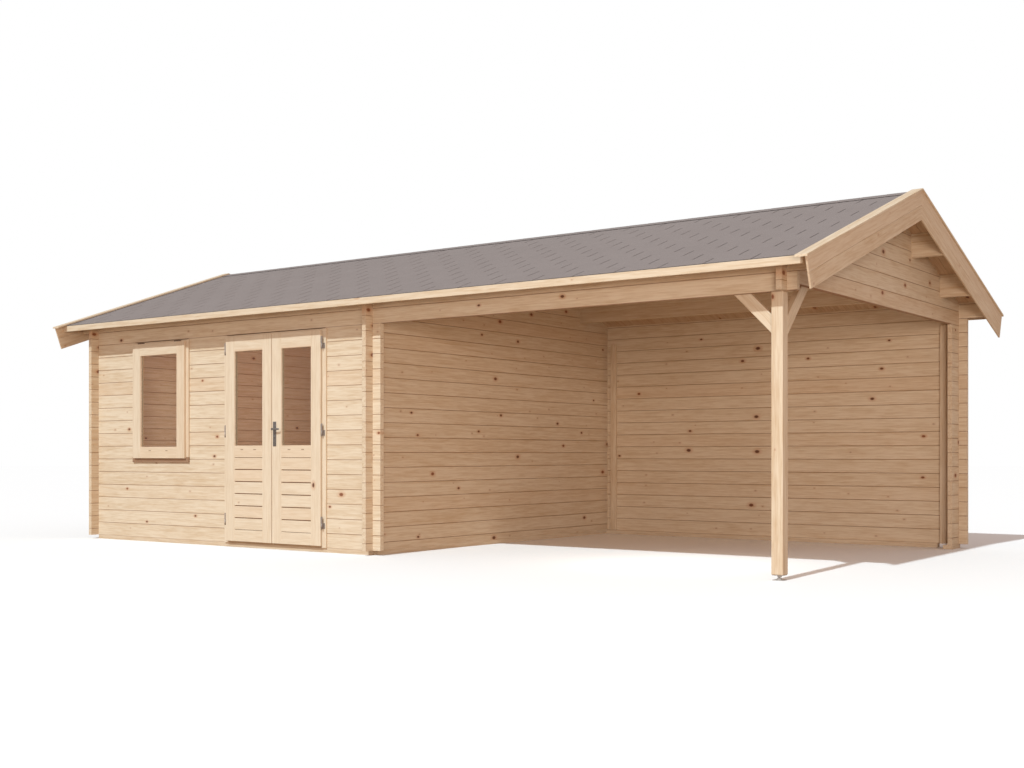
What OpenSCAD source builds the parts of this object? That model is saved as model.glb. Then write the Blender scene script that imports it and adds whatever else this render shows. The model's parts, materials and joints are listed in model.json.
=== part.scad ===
// Log cabin with a double door, one window and an open canopy bay under the same
// shallow gable roof. Millimetres, +Z up, ground at Z = 0, ridge along X.
// The front of the cabin looks towards -Y and the canopy bay is on the +X side.

/* [Logs] */
// Height of one log course
log_h = 133; // [110:1:160]
// Thickness of the wall logs
log_t = 44; // [34:1:58]
// How far the log ends run past a crossing wall
log_end = 90; // [70:1:120]
// How far the outer ends of the front and back wall logs run past the gables
run_end = 76; // [60:1:120]
// Depth of the V joint between two courses
joint_d = 4; // [2:0.5:6]
// Courses beside the door, from the foundation to the door head
low_courses = 15; // [14:1:17]
// Courses above the door head, up to the eaves
top_courses = 2; // [2:1:3]

/* [Plan] */
// Left wall to partition, centre to centre
room_bay = 3896; // [3300:1:4700]
// Partition to right gable, centre to centre
canopy_bay = 3896; // [3200:1:4700]
// Front wall to back wall, centre to centre
depth_bay = 3896; // [3300:1:4700]

/* [Foundation and floor] */
// Height of the foundation beams
beam_h = 40; // [30:1:60]
// Width of the foundation beams
beam_w = 70; // [60:1:100]
// Thickness of the floor boards
floor_t = 19; // [15:1:28]
// Width of a floor bearer
bearer_w = 60; // [40:1:80]
// Number of floor bearers
bearer_count = 6; // [4:1:9]

/* [Roof] */
// Slope of the roof in degrees
roof_pitch = 19.5; // [15:0.5:24]
// Thickness of the roof boards
roof_t = 19; // [16:1:28]
// Thickness of the shingle layer
shingle_t = 6; // [4:1:10]
// Roof boards past the front and back wall faces
eaves_out = 225; // [180:1:330]
// Roof boards past the left wall face
left_out = 225; // [180:1:320]
// Roof boards past the right gable face
right_out = 277; // [200:1:350]
// Width of one purlin
purlin_w = 58; // [44:1:80]
// Depth of one purlin
purlin_h = 192; // [150:1:210]
// Upper purlins, distance from the ridge line
upper_purlin = 634; // [500:1:720]
// Lower purlins, distance from the ridge line
lower_purlin = 1392; // [1150:1:1520]

/* [Roof edge boards] */
// Thickness of the eaves boards
eaves_t = 20; // [16:1:28]
// Height of the eaves boards
eaves_h = 58; // [45:1:75]
// Eaves boards stop this far short of the right barge boards
eaves_short = 56; // [20:1:80]
// Width of one barge board, two lie side by side
barge_w = 112; // [90:1:130]
// Thickness of the barge boards
barge_t = 14; // [12:1:28]
// Barge boards run past the eaves board face
barge_past = 92; // [20:1:140]
// Cap boards run past the ends of the barge boards
cap_past = 16; // [0:1:30]
// Width of the flat cap board on the roof edge
cap_w = 94; // [80:1:120]
// Thickness of the cap board
cap_t = 16; // [12:1:22]
// Cap board overhang outside the barge board
cap_out = 11; // [3:1:16]

/* [Canopy] */
// Side of the square corner post
post_w = 88; // [70:1:120]
// Post face inside the outer face of the right gable
post_in = 32; // [10:1:40]
// Leg of the front knee brace along the post and the beam
brace_leg = 299; // [220:1:400]
// Width of a knee brace
brace_w = 94; // [70:1:120]
// Thickness of a knee brace
brace_t = 44; // [30:1:60]
// Inner length of the short corner logs at the back right
corner_len = 200; // [150:1:300]
// Width of a storm batten
batten_w = 65; // [45:1:80]
// Thickness of a storm batten
batten_t = 40; // [25:1:45]

/* [Door] */
// Centre of the doorway from the partition centre
door_from_partition = 1209; // [1000:1:1500]
// Width of the doorway cut in the logs
door_cut_w = 1316; // [1200:1:1400]
// Thickness of the door jambs
jamb_t = 37; // [30:1:50]
// Thickness of the door and window heads
head_t = 27; // [22:1:50]
// How far the frame stands proud of the logs
frame_out = 17; // [10:1:25]
// Casing over the logs beside the frame
casing_lap = 20; // [12:1:30]
// Height of the threshold
threshold_h = 30; // [20:1:40]
// Gap left above the frames for the logs to settle
settle_gap = 8; // [5:1:15]
// Thickness of the lip round each leaf
lip_t = 18; // [15:1:24]
// How far the lip covers the frame
lip_over = 12; // [8:1:16]
// Total thickness of a leaf
leaf_t = 42; // [36:1:50]
// Running gap round each leaf
run_gap = 6; // [5:0.5:8]
// Gap between the two leaves
meet_gap = 8; // [7:0.5:12]
// Width of the stiles of a leaf
stile_w = 123; // [90:1:130]
// Height of the top rail of a leaf
top_rail = 143; // [90:1:160]
// Height of the glass in a leaf
leaf_glass_h = 902; // [700:1:1000]
// Height of the rail under the glass
lock_rail = 109; // [90:1:130]
// Height of one panel board
panel_board = 115; // [90:1:125]
// Depth of the grooves between panel boards
panel_groove = 5; // [3:1:8]
// Hinge axis outside the edge of the leaf
hinge_out = 13; // [12:1:18]
// Diameter of a hinge barrel
barrel_d = 14; // [10:1:15]
// Diameter of a hinge pin
pin_d = 7; // [5:0.5:8]
// Radial play of the pin in the barrel
pin_play = 0.1; // [0.05:0.05:0.3]
// Length of a whole hinge
hinge_l = 104; // [80:2:130]

/* [Window] */
// Centre of the window from the left wall centre
window_from_left = 1045; // [900:1:1200]
// Width of the window cut in the logs
window_cut_w = 834; // [700:1:900]
// Courses below the window
sill_courses = 6; // [5:1:8]
// Casing under the window
window_casing_low = 32; // [20:1:40]
// Width of the sash
sash_w = 800; // [640:1:820]
// Width of the sash stiles
sash_stile = 117; // [80:1:130]
// Height of the top rail of the sash
sash_top_rail = 122; // [80:1:130]
// Height of the bottom rail of the sash
sash_low_rail = 112; // [80:1:130]
// Thickness of the glass
glass_t = 5; // [4:1:8]

/* [Hidden] */

$fn = 32;
eps = 1;
// Clearance between pieces that seat on each other
seat = 0.3;
// Gap between boards that lie side by side in one node
slit = 1;

// Directions used by the mirrored pieces
FRONT = -1;
REAR = 1;

// Wall centre lines; the box of the whole cabin is centred on the origin
edge_past = barge_t + cap_out;
gable_x = (room_bay + canopy_bay + left_out - right_out) / 2;
partition_x = gable_x - canopy_bay;
left_x = partition_x - room_bay;
front_y = -depth_bay / 2;
back_y = depth_bay / 2;
half_t = log_t / 2;
face_y = depth_bay / 2 + half_t;
x_start = left_x - half_t - run_end;
x_stop = gable_x + half_t + run_end;
cross_walls = [left_x, partition_x, gable_x];

// Levels
head_z = beam_h + low_courses * log_h;
plate_z = head_z + top_courses * log_h;
gable_low_z = head_z + log_h / 2;

// Roof: the underside of the boards touches the outer top edges of the walls
slope = tan(roof_pitch);
ridge_z = plate_z + face_y * slope;
roof_rise = roof_t / cos(roof_pitch);
shingle_rise = shingle_t / cos(roof_pitch);
eaves_y = face_y + eaves_out;
barge_y = eaves_y + eaves_t + barge_past;
cap_y = barge_y + cap_past;
roof_x0 = left_x - half_t - left_out;
roof_x1 = gable_x + half_t + right_out;
// Top of the finished roof above the underside of the boards
roof_top = seat + roof_rise + seat + shingle_rise;

function under_z(y) = ridge_z - abs(y) * slope;

// Door and window places
door_x = partition_x - door_from_partition;
window_x = left_x + window_from_left;
frame_top = head_z - settle_gap;
wall_out_y = front_y - half_t;
wall_in_y = front_y + half_t;
frame_y0 = wall_out_y - frame_out;
frame_y1 = wall_in_y + frame_out;
door_clear_w = door_cut_w - 2 * seat - 2 * jamb_t;
leaf_x = door_clear_w / 2 + lip_over;
leaf_w = leaf_x - meet_gap / 2;
leaf_y0 = frame_y0 - 5 - lip_t;
leaf_y1 = leaf_y0 + leaf_t;
lip_y1 = leaf_y0 + lip_t;
threshold_z = beam_h + threshold_h;
leaf_low = threshold_z - lip_over;
head_rail_z = frame_top - head_t;
leaf_top = head_rail_z + lip_over;
leaf_glass_top = leaf_top - top_rail;
leaf_glass_low = leaf_glass_top - leaf_glass_h;
panel_top = leaf_glass_low - lock_rail;
panel_lines = 7;
glass_w = leaf_w - 2 * stile_w;
hinge_y = leaf_y0 + 4;
hinge_x = leaf_x + hinge_out;
hinge_z = [leaf_low + 208, (leaf_low + leaf_top) / 2 + 73, leaf_top - 115];
sill_z = beam_h + sill_courses * log_h;

// ---------- helpers ----------

// Extrudes a (y, z) outline along X from x0 to x1
module along_x(x0, x1) {
    translate([x0, 0, 0])
        rotate([90, 0, 90])
            linear_extrude(height = x1 - x0)
                children();
}

// Extrudes an (x, z) outline along Y from y0 to y1
module along_y(y0, y1) {
    translate([0, y1, 0])
        rotate([90, 0, 0])
            linear_extrude(height = y1 - y0)
                children();
}

module block(x0, x1, y0, y1, z0, z1) {
    translate([x0, y0, z0])
        cube([x1 - x0, y1 - y0, z1 - z0]);
}

// Joint lines between z0 and z1; first is 0 for front and back walls, 0.5 for cross walls
function joint_lines(first, z0, z1) =
    [for (k = [0 : 40])
        let (z = beam_h + (k + first) * log_h)
        if (z > z0 + joint_d && z < z1 - joint_d) z];

// Outline across a log wall, with a V joint on both faces at each line
function log_outline(z0, z1, lines) = concat(
    [[-half_t, z0], [half_t, z0]],
    [for (z = lines) for (p = [[half_t, z - joint_d], [half_t - joint_d, z], [half_t, z + joint_d]]) p],
    [[half_t, z1], [-half_t, z1]],
    [for (i = [len(lines) - 1 : -1 : 0])
        for (p = [[-half_t, lines[i] + joint_d], [-half_t + joint_d, lines[i]],
                  [-half_t, lines[i] - joint_d]]) p]);

// Log wall along X, centred on y
module long_wall(x0, x1, y, z0, z1) {
    translate([0, y, 0])
        along_x(x0, x1)
            polygon(log_outline(z0, z1, joint_lines(0, z0, z1)));
}

// Log wall along Y, centred on x
module cross_wall(x, y0, y1, z0, z1) {
    translate([x, 0, 0])
        along_y(y0, y1)
            polygon(log_outline(z0, z1, joint_lines(0.5, z0, z1)));
}

// Room for the cores of the logs that cross at (x, y): bands half a course high
module crossing_cuts(x, y, first, z0, z1) {
    half = half_t + seat;
    for (k = [0 : 40]) {
        z = beam_h + (k + first) * log_h;
        low = max(z - log_h / 4 - seat, z0 - eps);
        high = min(z + log_h / 4 + seat, z1 + eps);
        if (high > z0 && low < z1)
            block(x - half, x + half, y - half, y + half, low, high);
    }
}

// Space above the roof boards' underside, for trimming walls to the slope
module above_roof(x0, x1) {
    far = cap_y + 200;
    along_x(x0, x1)
        polygon([[-far, under_z(far)], [0, ridge_z], [far, under_z(far)],
                 [far, ridge_z + 500], [-far, ridge_z + 500]]);
}

// Outline of a purlin at distance y from the ridge, its top cut to the slope
module purlin_outline(y, gap) {
    h = purlin_w / 2 + gap;
    low = under_z(y) - purlin_h - gap;
    if (y == 0)
        polygon([[-h, low], [h, low], [h, under_z(h)], [0, ridge_z], [-h, under_z(h)]]);
    else
        polygon([[y - h, low], [y + h, low], [y + h, under_z(y + h)], [y - h, under_z(y - h)]]);
}

// Room for the five purlins through a gable wall at x
module purlin_cuts(x) {
    for (y = [-lower_purlin, -upper_purlin, 0, upper_purlin, lower_purlin])
        along_x(x - log_t, x + log_t) {
            purlin_outline(y, seat);
            translate([0, 2 * seat])
                purlin_outline(y, seat);
        }
}

// Board that follows one roof slope; low and high are vertical offsets from the underside
module slope_board(side, x0, x1, y_end, low, high) {
    mirror([0, side == FRONT ? 0 : 1, 0])
        along_x(x0, x1)
            polygon([[-y_end, under_z(y_end) + low], [-slit / 2, under_z(slit / 2) + low],
                     [-slit / 2, under_z(slit / 2) + high], [-y_end, under_z(y_end) + high]]);
}

// Board between two distances from the roof's top, both square to the slope, its end cut square
module barge_board(side, x0, x1, near, far) {
    end_z = under_z(barge_y) + roof_top;
    ridge = under_z(slit / 2) + roof_top;
    mirror([0, side == FRONT ? 0 : 1, 0])
        along_x(x0, x1)
            polygon([[-barge_y + near * sin(roof_pitch), end_z - near * cos(roof_pitch)],
                     [-barge_y + far * sin(roof_pitch), end_z - far * cos(roof_pitch)],
                     [-slit / 2, ridge - far / cos(roof_pitch)],
                     [-slit / 2, ridge - near / cos(roof_pitch)]]);
}

// ---------- foundation and floor ----------

module foundation_long_beams() {
    color("BurlyWood") {
        x0 = left_x + half_t;
        x1 = partition_x - half_t;
        block(x0, x1, wall_out_y, wall_out_y + beam_w, 0, beam_h);
        block(x0, gable_x - half_t - 150, face_y - beam_w, face_y, 0, beam_h);
    }
}

module foundation_cross_beams() {
    y0 = wall_out_y + beam_w;
    y1 = face_y - beam_w;
    color("BurlyWood") {
        block(left_x - half_t, left_x - half_t + beam_w, y0, y1, 0, beam_h);
        block(partition_x - beam_w + half_t, partition_x + half_t, y0, y1, 0, beam_h);
        block(gable_x - half_t - 44, gable_x + half_t, back_y - half_t - corner_len, face_y, 0, beam_h);
    }
}

floor_x0 = left_x + half_t + 6;
floor_x1 = partition_x - half_t - 6;
floor_y0 = wall_out_y + log_t + 6;
floor_y1 = face_y - log_t - 6;

module floor_bearers() {
    first = left_x - half_t + beam_w + 40;
    last = partition_x + half_t - beam_w - 40 - bearer_w;
    step = (last - first) / (bearer_count - 1);
    color("BurlyWood")
        for (i = [0 : bearer_count - 1])
            block(first + i * step, first + i * step + bearer_w,
                wall_out_y + beam_w, face_y - beam_w, 0, beam_h);
}

module floor_boards() {
    front = frame_y1 + 1;
    color("Tan")
        difference() {
            block(floor_x0, floor_x1, floor_y0, floor_y1, beam_h, beam_h + floor_t);
            block(door_x - door_cut_w / 2 - casing_lap - 3, door_x + door_cut_w / 2 + casing_lap + 3,
                floor_y0 - eps, front, beam_h - eps, beam_h + floor_t + eps);
        }
}

// ---------- log walls ----------

module front_wall_left() {
    x1 = door_x - door_cut_w / 2;
    color("Wheat")
        difference() {
            long_wall(x_start, x1, front_y, beam_h, head_z);
            crossing_cuts(left_x, front_y, 0, beam_h, head_z);
            block(window_x - window_cut_w / 2, window_x + window_cut_w / 2,
                wall_out_y - eps, wall_in_y + eps, sill_z, head_z + eps);
        }
}

module front_wall_right() {
    x0 = door_x + door_cut_w / 2;
    color("Wheat")
        difference() {
            long_wall(x0, partition_x + half_t + log_end, front_y, beam_h, head_z);
            crossing_cuts(partition_x, front_y, 0, beam_h, head_z);
        }
}

// Log wall along X from z0 up to the roof boards; its top log runs on to the barge boards
module eaves_wall(y, z0) {
    difference() {
        long_wall(roof_x0 + seat, roof_x1 - seat, y, z0, plate_z + log_t * slope);
        for (x = cross_walls)
            crossing_cuts(x, y, 0, z0, plate_z + log_t * slope);
        for (x = [[roof_x0, x_start], [x_stop, roof_x1]])
            block(x[0] - eps, x[1] + eps, y - log_t, y + log_t, z0 - eps, plate_z - log_h + slit / 2);
        above_roof(roof_x0 - eps, roof_x1 + eps);
    }
}

module front_top_logs() {
    color("Wheat")
        eaves_wall(front_y, head_z);
}

module back_wall() {
    color("Wheat")
        eaves_wall(back_y, beam_h);
}

// Full cross wall from the foundation to the roof
module full_cross_wall(x) {
    difference() {
        cross_wall(x, -face_y - log_end, face_y + log_end, beam_h, ridge_z);
        crossing_cuts(x, front_y, 0.5, beam_h, plate_z + log_t * slope);
        crossing_cuts(x, back_y, 0.5, beam_h, plate_z + log_t * slope);
        above_roof(x - log_t, x + log_t);
        purlin_cuts(x);
    }
}

module left_gable_wall() {
    color("Wheat")
        full_cross_wall(left_x);
}

module partition_wall() {
    color("Wheat")
        full_cross_wall(partition_x);
}

module right_gable_wall() {
    color("Wheat")
        difference() {
            union() {
                cross_wall(gable_x, -face_y - log_end, face_y + log_end, gable_low_z, ridge_z);
                cross_wall(gable_x, -face_y - log_end, post_y1, head_z, gable_low_z);
            }
            crossing_cuts(gable_x, front_y, 0.5, head_z, plate_z + log_t * slope);
            crossing_cuts(gable_x, back_y, 0.5, head_z, plate_z + log_t * slope);
            above_roof(gable_x - log_t, gable_x + log_t);
            purlin_cuts(gable_x);
        }
}

module right_corner_logs() {
    color("Wheat")
        difference() {
            cross_wall(gable_x, back_y - half_t - corner_len, face_y + log_end, beam_h, gable_low_z);
            crossing_cuts(gable_x, back_y, 0.5, beam_h, gable_low_z);
        }
}

// ---------- canopy ----------

post_x1 = gable_x + half_t - post_in;
post_x0 = post_x1 - post_w;
post_y0 = wall_out_y;
post_y1 = post_y0 + post_w;

module canopy_post() {
    color("Wheat")
        block(post_x0, post_x1, post_y0, post_y1, beam_h, head_z);
}

module post_foot() {
    plate = post_w - 10;
    plate_t = 5;
    x = (post_x0 + post_x1) / 2;
    color("Silver")
        translate([x, (post_y0 + post_y1) / 2, 0]) {
            translate([-plate / 2, -plate / 2, 0])
                cube([plate, plate, plate_t]);
            cylinder(d = 18, h = beam_h);
            translate([-plate / 2, -plate / 2, beam_h - plate_t])
                cube([plate, plate, plate_t]);
        }
}

// Brace outline in the corner between a post at u = 0 and a beam at v = 0
module brace_outline(leg) {
    inner = leg - brace_w * sqrt(2);
    polygon([[0, -inner], [0, -leg], [leg, 0], [inner, 0]]);
}

module front_brace() {
    color("Wheat")
        translate([post_x0, (post_y0 + post_y1 + brace_t) / 2, head_z])
            rotate([90, 0, 0])
                linear_extrude(height = brace_t)
                    mirror([1, 0])
                        brace_outline(brace_leg);
}

// Runs from the back of the post to the underside of the lowest gable log
module side_brace() {
    color("Wheat")
        translate([post_x1 - brace_t, post_y1, gable_low_z])
            rotate([90, 0, 90])
                linear_extrude(height = brace_t)
                    brace_outline(brace_leg + gable_low_z - head_z);
}

module storm_battens() {
    y1 = back_y - half_t;
    top = beam_h + (low_courses + 0.6) * log_h;
    x_left = partition_x + half_t + 62;
    x_right = gable_x + half_t - 102 - batten_w;
    color("Tan")
        for (x = [x_left, x_right])
            block(x, x + batten_w, y1 - batten_t, y1, beam_h, top);
}

// ---------- roof ----------

module ridge_purlin() {
    color("Tan")
        along_x(roof_x0, roof_x1)
            purlin_outline(0, 0);
}

module front_purlins() {
    color("Tan")
        for (y = [upper_purlin, lower_purlin])
            along_x(roof_x0, roof_x1)
                purlin_outline(-y, 0);
}

module rear_purlins() {
    color("Tan")
        for (y = [upper_purlin, lower_purlin])
            along_x(roof_x0, roof_x1)
                purlin_outline(y, 0);
}

module roof_boards_front() {
    color("Peru")
        slope_board(FRONT, roof_x0, roof_x1, eaves_y, seat, seat + roof_rise);
}

module roof_boards_rear() {
    color("Peru")
        slope_board(REAR, roof_x0, roof_x1, eaves_y, seat, seat + roof_rise);
}

shingle_low = seat + roof_rise + seat;

module shingles_front() {
    color("DimGray")
        slope_board(FRONT, roof_x0, roof_x1, eaves_y + eaves_t, shingle_low, shingle_low + shingle_rise);
}

module shingles_rear() {
    color("DimGray")
        slope_board(REAR, roof_x0, roof_x1, eaves_y + eaves_t, shingle_low, shingle_low + shingle_rise);
}

// Bent strip over the ridge, between the cap boards
module ridge_shingles() {
    reach = 110;
    low = roof_top + seat;
    high = low + shingle_rise / 2;
    color("DimGray")
        along_x(roof_x0 + cap_w - edge_past + 2, roof_x1 - cap_w + edge_past - 2)
            polygon([[-reach, under_z(reach) + low], [0, ridge_z + low], [reach, under_z(reach) + low],
                     [reach, under_z(reach) + high], [0, ridge_z + high], [-reach, under_z(reach) + high]]);
}

module eaves_boards() {
    top = under_z(eaves_y + eaves_t) + shingle_low - seat;
    color("BurlyWood")
        for (side = [0, 1])
            mirror([0, side, 0])
                block(roof_x0 + seat, roof_x1 - eaves_short, -eaves_y - eaves_t, -eaves_y,
                    top - eaves_h, top);
}

// Four barge boards of one gable, between x0 and x1
module barge_set(x0, x1) {
    for (side = [FRONT, REAR]) {
        barge_board(side, x0, x1, 0, barge_w);
        barge_board(side, x0, x1, barge_w + slit, 2 * barge_w + slit);
    }
}

module left_barge_boards() {
    color("Tan")
        barge_set(roof_x0 - barge_t, roof_x0);
}

module right_barge_boards() {
    color("Tan")
        barge_set(roof_x1, roof_x1 + barge_t);
}

// The two cap boards of one gable, between x0 and x1
module cap_set(x0, x1) {
    low = roof_top + seat;
    for (side = [FRONT, REAR])
        slope_board(side, x0, x1, cap_y, low, low + cap_t / cos(roof_pitch));
}

module left_cap_boards() {
    color("Wheat")
        cap_set(roof_x0 - edge_past, roof_x0 - edge_past + cap_w);
}

module right_cap_boards() {
    color("Wheat")
        cap_set(roof_x1 + edge_past - cap_w, roof_x1 + edge_past);
}

// ---------- window ----------

// Ring with the given inner and outer half width and heights
module ring(x, out_w, in_w, z0, z1, in_z0, in_z1, y0, y1) {
    difference() {
        block(x - out_w / 2, x + out_w / 2, y0, y1, z0, z1);
        block(x - in_w / 2, x + in_w / 2, y0 - eps, y1 + eps, in_z0, in_z1);
    }
}

sash_y0 = frame_y0 - 23;
sash_low = sill_z + 9;
sash_top = leaf_top;

module window_frame() {
    in_w = sash_w - 2 * lip_over;
    in_low = sash_low + lip_over;
    in_top = sash_top - lip_over;
    cut = window_cut_w - 2 * seat;
    wide = window_cut_w + 2 * casing_lap;
    color("Wheat") {
        ring(window_x, cut, in_w, sill_z + seat, frame_top, in_low, in_top, frame_y0, frame_y1);
        ring(window_x, wide, cut - eps, sill_z - window_casing_low, frame_top, sill_z + 2, frame_top + eps,
            frame_y0, wall_out_y - seat);
        ring(window_x, wide, cut - eps, sill_z - window_casing_low, head_z + casing_lap,
            sill_z + 2, frame_top - eps, wall_in_y + seat, frame_y1);
    }
}

module window_sash() {
    body_w = sash_w - 2 * lip_over - 4;
    glass_open_w = sash_w - 2 * sash_stile;
    color("Wheat") {
        ring(window_x, sash_w, glass_open_w, sash_low, sash_top, sash_low + sash_low_rail, sash_top - sash_top_rail,
            sash_y0, frame_y0 - seat);
        ring(window_x, body_w, glass_open_w, sash_low + lip_over + 2, sash_top - lip_over - 2,
            sash_low + sash_low_rail, sash_top - sash_top_rail, frame_y0 - seat, frame_y0 + 19);
    }
}

module window_glass() {
    half = sash_w / 2 - sash_stile - seat;
    y = frame_y0 - 2;
    color("LightBlue")
        block(window_x - half, window_x + half, y, y + glass_t,
            sash_low + sash_low_rail + seat, sash_top - sash_top_rail - seat);
}

// ---------- door ----------

module door_frame() {
    cut = door_cut_w - 2 * seat;
    wide = door_cut_w + 2 * casing_lap;
    color("Wheat") {
        ring(door_x, cut, door_clear_w, beam_h + seat, frame_top, beam_h - eps, head_rail_z, frame_y0, frame_y1);
        ring(door_x, wide, cut - eps, beam_h + seat, frame_top, beam_h - eps, frame_top + eps,
            frame_y0, wall_out_y - seat);
        ring(door_x, wide, cut - eps, beam_h + seat, head_z + casing_lap, beam_h - eps, frame_top - eps,
            wall_in_y + seat, frame_y1);
    }
}

module door_threshold() {
    half = door_clear_w / 2 - seat;
    color("Tan")
        block(door_x - half, door_x + half, frame_y0, frame_y1, beam_h + seat, threshold_z);
}

// Leaf drawn with its hinge edge at x = leaf_x and its free edge at the meeting gap
module leaf_solid() {
    body_x = door_clear_w / 2 - run_gap;
    free_x = meet_gap / 2;
    open_x0 = free_x + stile_w;
    open_x1 = open_x0 + glass_w;
    difference() {
        union() {
            block(free_x, leaf_x, leaf_y0, lip_y1, leaf_low, leaf_top);
            block(free_x, body_x, lip_y1, leaf_y1, threshold_z + run_gap, head_rail_z - run_gap);
        }
        block(open_x0, open_x1, leaf_y0 - eps, leaf_y1 + eps, leaf_glass_low, leaf_glass_top);
        for (i = [0 : panel_lines - 1])
            block(open_x0, open_x1, leaf_y0 - eps, leaf_y0 + panel_groove,
                panel_top - i * panel_board - 3, panel_top - i * panel_board + 3);
    }
}

module leaf_glass() {
    open_x0 = meet_gap / 2 + stile_w;
    y = leaf_y0 + 17;
    block(open_x0 + seat, open_x0 + glass_w - seat, y, y + glass_t,
        leaf_glass_low + seat, leaf_glass_top - seat);
}

// Upper half of each hinge: a bored barrel and the wing that meets the edge of the leaf
module leaf_hinges() {
    for (z = hinge_z)
        translate([hinge_x, hinge_y, z]) {
            difference() {
                union() {
                    translate([0, 0, 1])
                        cylinder(d = barrel_d, h = hinge_l / 2 - 1);
                    translate([-hinge_out + seat, -1.5, 1])
                        cube([hinge_out - seat, 3, hinge_l / 2 - 1]);
                    translate([-hinge_out + seat, -3, 1])
                        cube([2.5, 15, hinge_l / 2 - 1]);
                }
                translate([0, 0, -eps])
                    cylinder(d = pin_d + 2 * pin_play, h = hinge_l);
            }
        }
}

// Lower half of each hinge: barrel, pin and the wing on the face of the frame
module jamb_hinges() {
    wing_y = frame_y0 - seat - hinge_y;
    for (z = hinge_z)
        translate([hinge_x, hinge_y, z]) {
            translate([0, 0, -hinge_l / 2])
                cylinder(d = barrel_d, h = hinge_l / 2 - 1);
            translate([0, 0, -eps * 2])
                cylinder(d = pin_d, h = hinge_l / 2);
            translate([-1.5, 0, -hinge_l / 2])
                cube([3, wing_y, hinge_l / 2 - 1]);
            translate([-1.5, wing_y - 3, -hinge_l / 2])
                cube([24, 3, hinge_l / 2 - 1]);
        }
}

module on_right() {
    translate([door_x, 0, 0])
        children();
}

module on_left() {
    translate([door_x, 0, 0])
        mirror([1, 0, 0])
            children();
}

module frame_hinges() {
    color("Gray") {
        on_left() jamb_hinges();
        on_right() jamb_hinges();
    }
}

module door_left() {
    color("Wheat")
        on_left() leaf_solid();
}

module door_right() {
    color("Wheat")
        on_right() leaf_solid();
}

module left_glass() {
    color("LightBlue")
        on_left() leaf_glass();
}

module right_glass() {
    color("LightBlue")
        on_right() leaf_glass();
}

module left_hinges() {
    color("Gray")
        on_left() leaf_hinges();
}

module right_hinges() {
    color("Gray")
        on_right() leaf_hinges();
}

// Long plate with a lever on a round neck
module door_handle() {
    plate_w = 40;
    plate_l = 229;
    plate_t = 4;
    lever_l = 115;
    lever_d = 18;
    neck = 42;
    x = meet_gap / 2 + 38;
    z = leaf_glass_low + 110;
    color("DimGray")
        on_right()
            translate([x, leaf_y0 - seat, z]) {
                translate([-plate_w / 2, -plate_t, -plate_l / 2])
                    cube([plate_w, plate_t, plate_l]);
                translate([0, -plate_t + eps, 45])
                    rotate([90, 0, 0])
                        cylinder(d = lever_d, h = neck);
                translate([-lever_d / 2, -neck - plate_t + lever_d / 2, 45])
                    rotate([0, 90, 0])
                        cylinder(d = lever_d, h = lever_l);
            }
}

foundation_long_beams();
foundation_cross_beams();
floor_bearers();
floor_boards();
front_wall_left();
front_wall_right();
front_top_logs();
back_wall();
left_gable_wall();
partition_wall();
right_gable_wall();
right_corner_logs();
canopy_post();
post_foot();
front_brace();
side_brace();
storm_battens();
ridge_purlin();
front_purlins();
rear_purlins();
roof_boards_front();
roof_boards_rear();
shingles_front();
shingles_rear();
ridge_shingles();
eaves_boards();
left_barge_boards();
right_barge_boards();
left_cap_boards();
right_cap_boards();
window_frame();
window_sash();
window_glass();
door_frame();
door_threshold();
frame_hinges();
door_left();
left_glass();
left_hinges();
door_right();
right_glass();
right_hinges();
door_handle();
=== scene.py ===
"""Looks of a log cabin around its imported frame: timber, roof covering, joinery, ironwork, light and camera."""

import json
import logging
import math
from dataclasses import dataclass
from enum import Enum
from typing import Callable, Optional, Sequence, Union

import bmesh
import bpy
from mathutils import Matrix, Vector

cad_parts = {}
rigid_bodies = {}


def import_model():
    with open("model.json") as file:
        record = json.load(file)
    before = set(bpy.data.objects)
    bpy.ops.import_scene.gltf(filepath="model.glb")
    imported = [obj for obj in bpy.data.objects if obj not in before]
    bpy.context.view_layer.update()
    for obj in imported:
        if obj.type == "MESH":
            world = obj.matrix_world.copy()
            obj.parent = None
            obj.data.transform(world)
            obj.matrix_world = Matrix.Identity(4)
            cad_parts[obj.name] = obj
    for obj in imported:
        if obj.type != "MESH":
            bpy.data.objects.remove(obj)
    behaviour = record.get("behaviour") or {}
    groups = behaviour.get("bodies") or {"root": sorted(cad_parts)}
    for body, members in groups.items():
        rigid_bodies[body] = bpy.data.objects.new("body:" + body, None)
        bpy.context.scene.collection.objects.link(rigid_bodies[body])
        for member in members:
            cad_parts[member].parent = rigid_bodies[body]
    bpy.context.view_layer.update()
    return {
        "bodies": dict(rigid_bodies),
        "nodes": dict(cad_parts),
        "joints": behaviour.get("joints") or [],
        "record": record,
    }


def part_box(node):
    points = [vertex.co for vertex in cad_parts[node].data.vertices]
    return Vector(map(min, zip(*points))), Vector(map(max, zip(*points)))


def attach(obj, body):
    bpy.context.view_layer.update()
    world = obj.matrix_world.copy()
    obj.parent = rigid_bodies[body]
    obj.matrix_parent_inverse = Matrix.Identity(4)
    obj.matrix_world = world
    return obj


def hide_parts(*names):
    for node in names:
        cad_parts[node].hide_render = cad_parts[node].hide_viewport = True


LOG = logging.getLogger("cabin")
PITCH = math.radians(19.5)
RUN, RISE = math.cos(PITCH), math.sin(PITCH)
HALF = math.sqrt(0.5)
COURSE = 0.133  # height of one log course
FOOT = 0.040  # height of the first log's underside
SEAT = 0.0003  # gap between pieces that touch
PLY = 0.019  # thickness of the roof boards
WALL_FACES = (-1.970, -1.926)  # outer and inner face of the front wall
CASING_LAP = 0.020  # how far a casing covers the logs
LIP_OVER = 0.012  # how far a leaf or sash laps over its frame
FRAME_TOP = 2.027  # top of the door and window frames
DOOR_HEAD = 2.000  # underside of the door head
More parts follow.
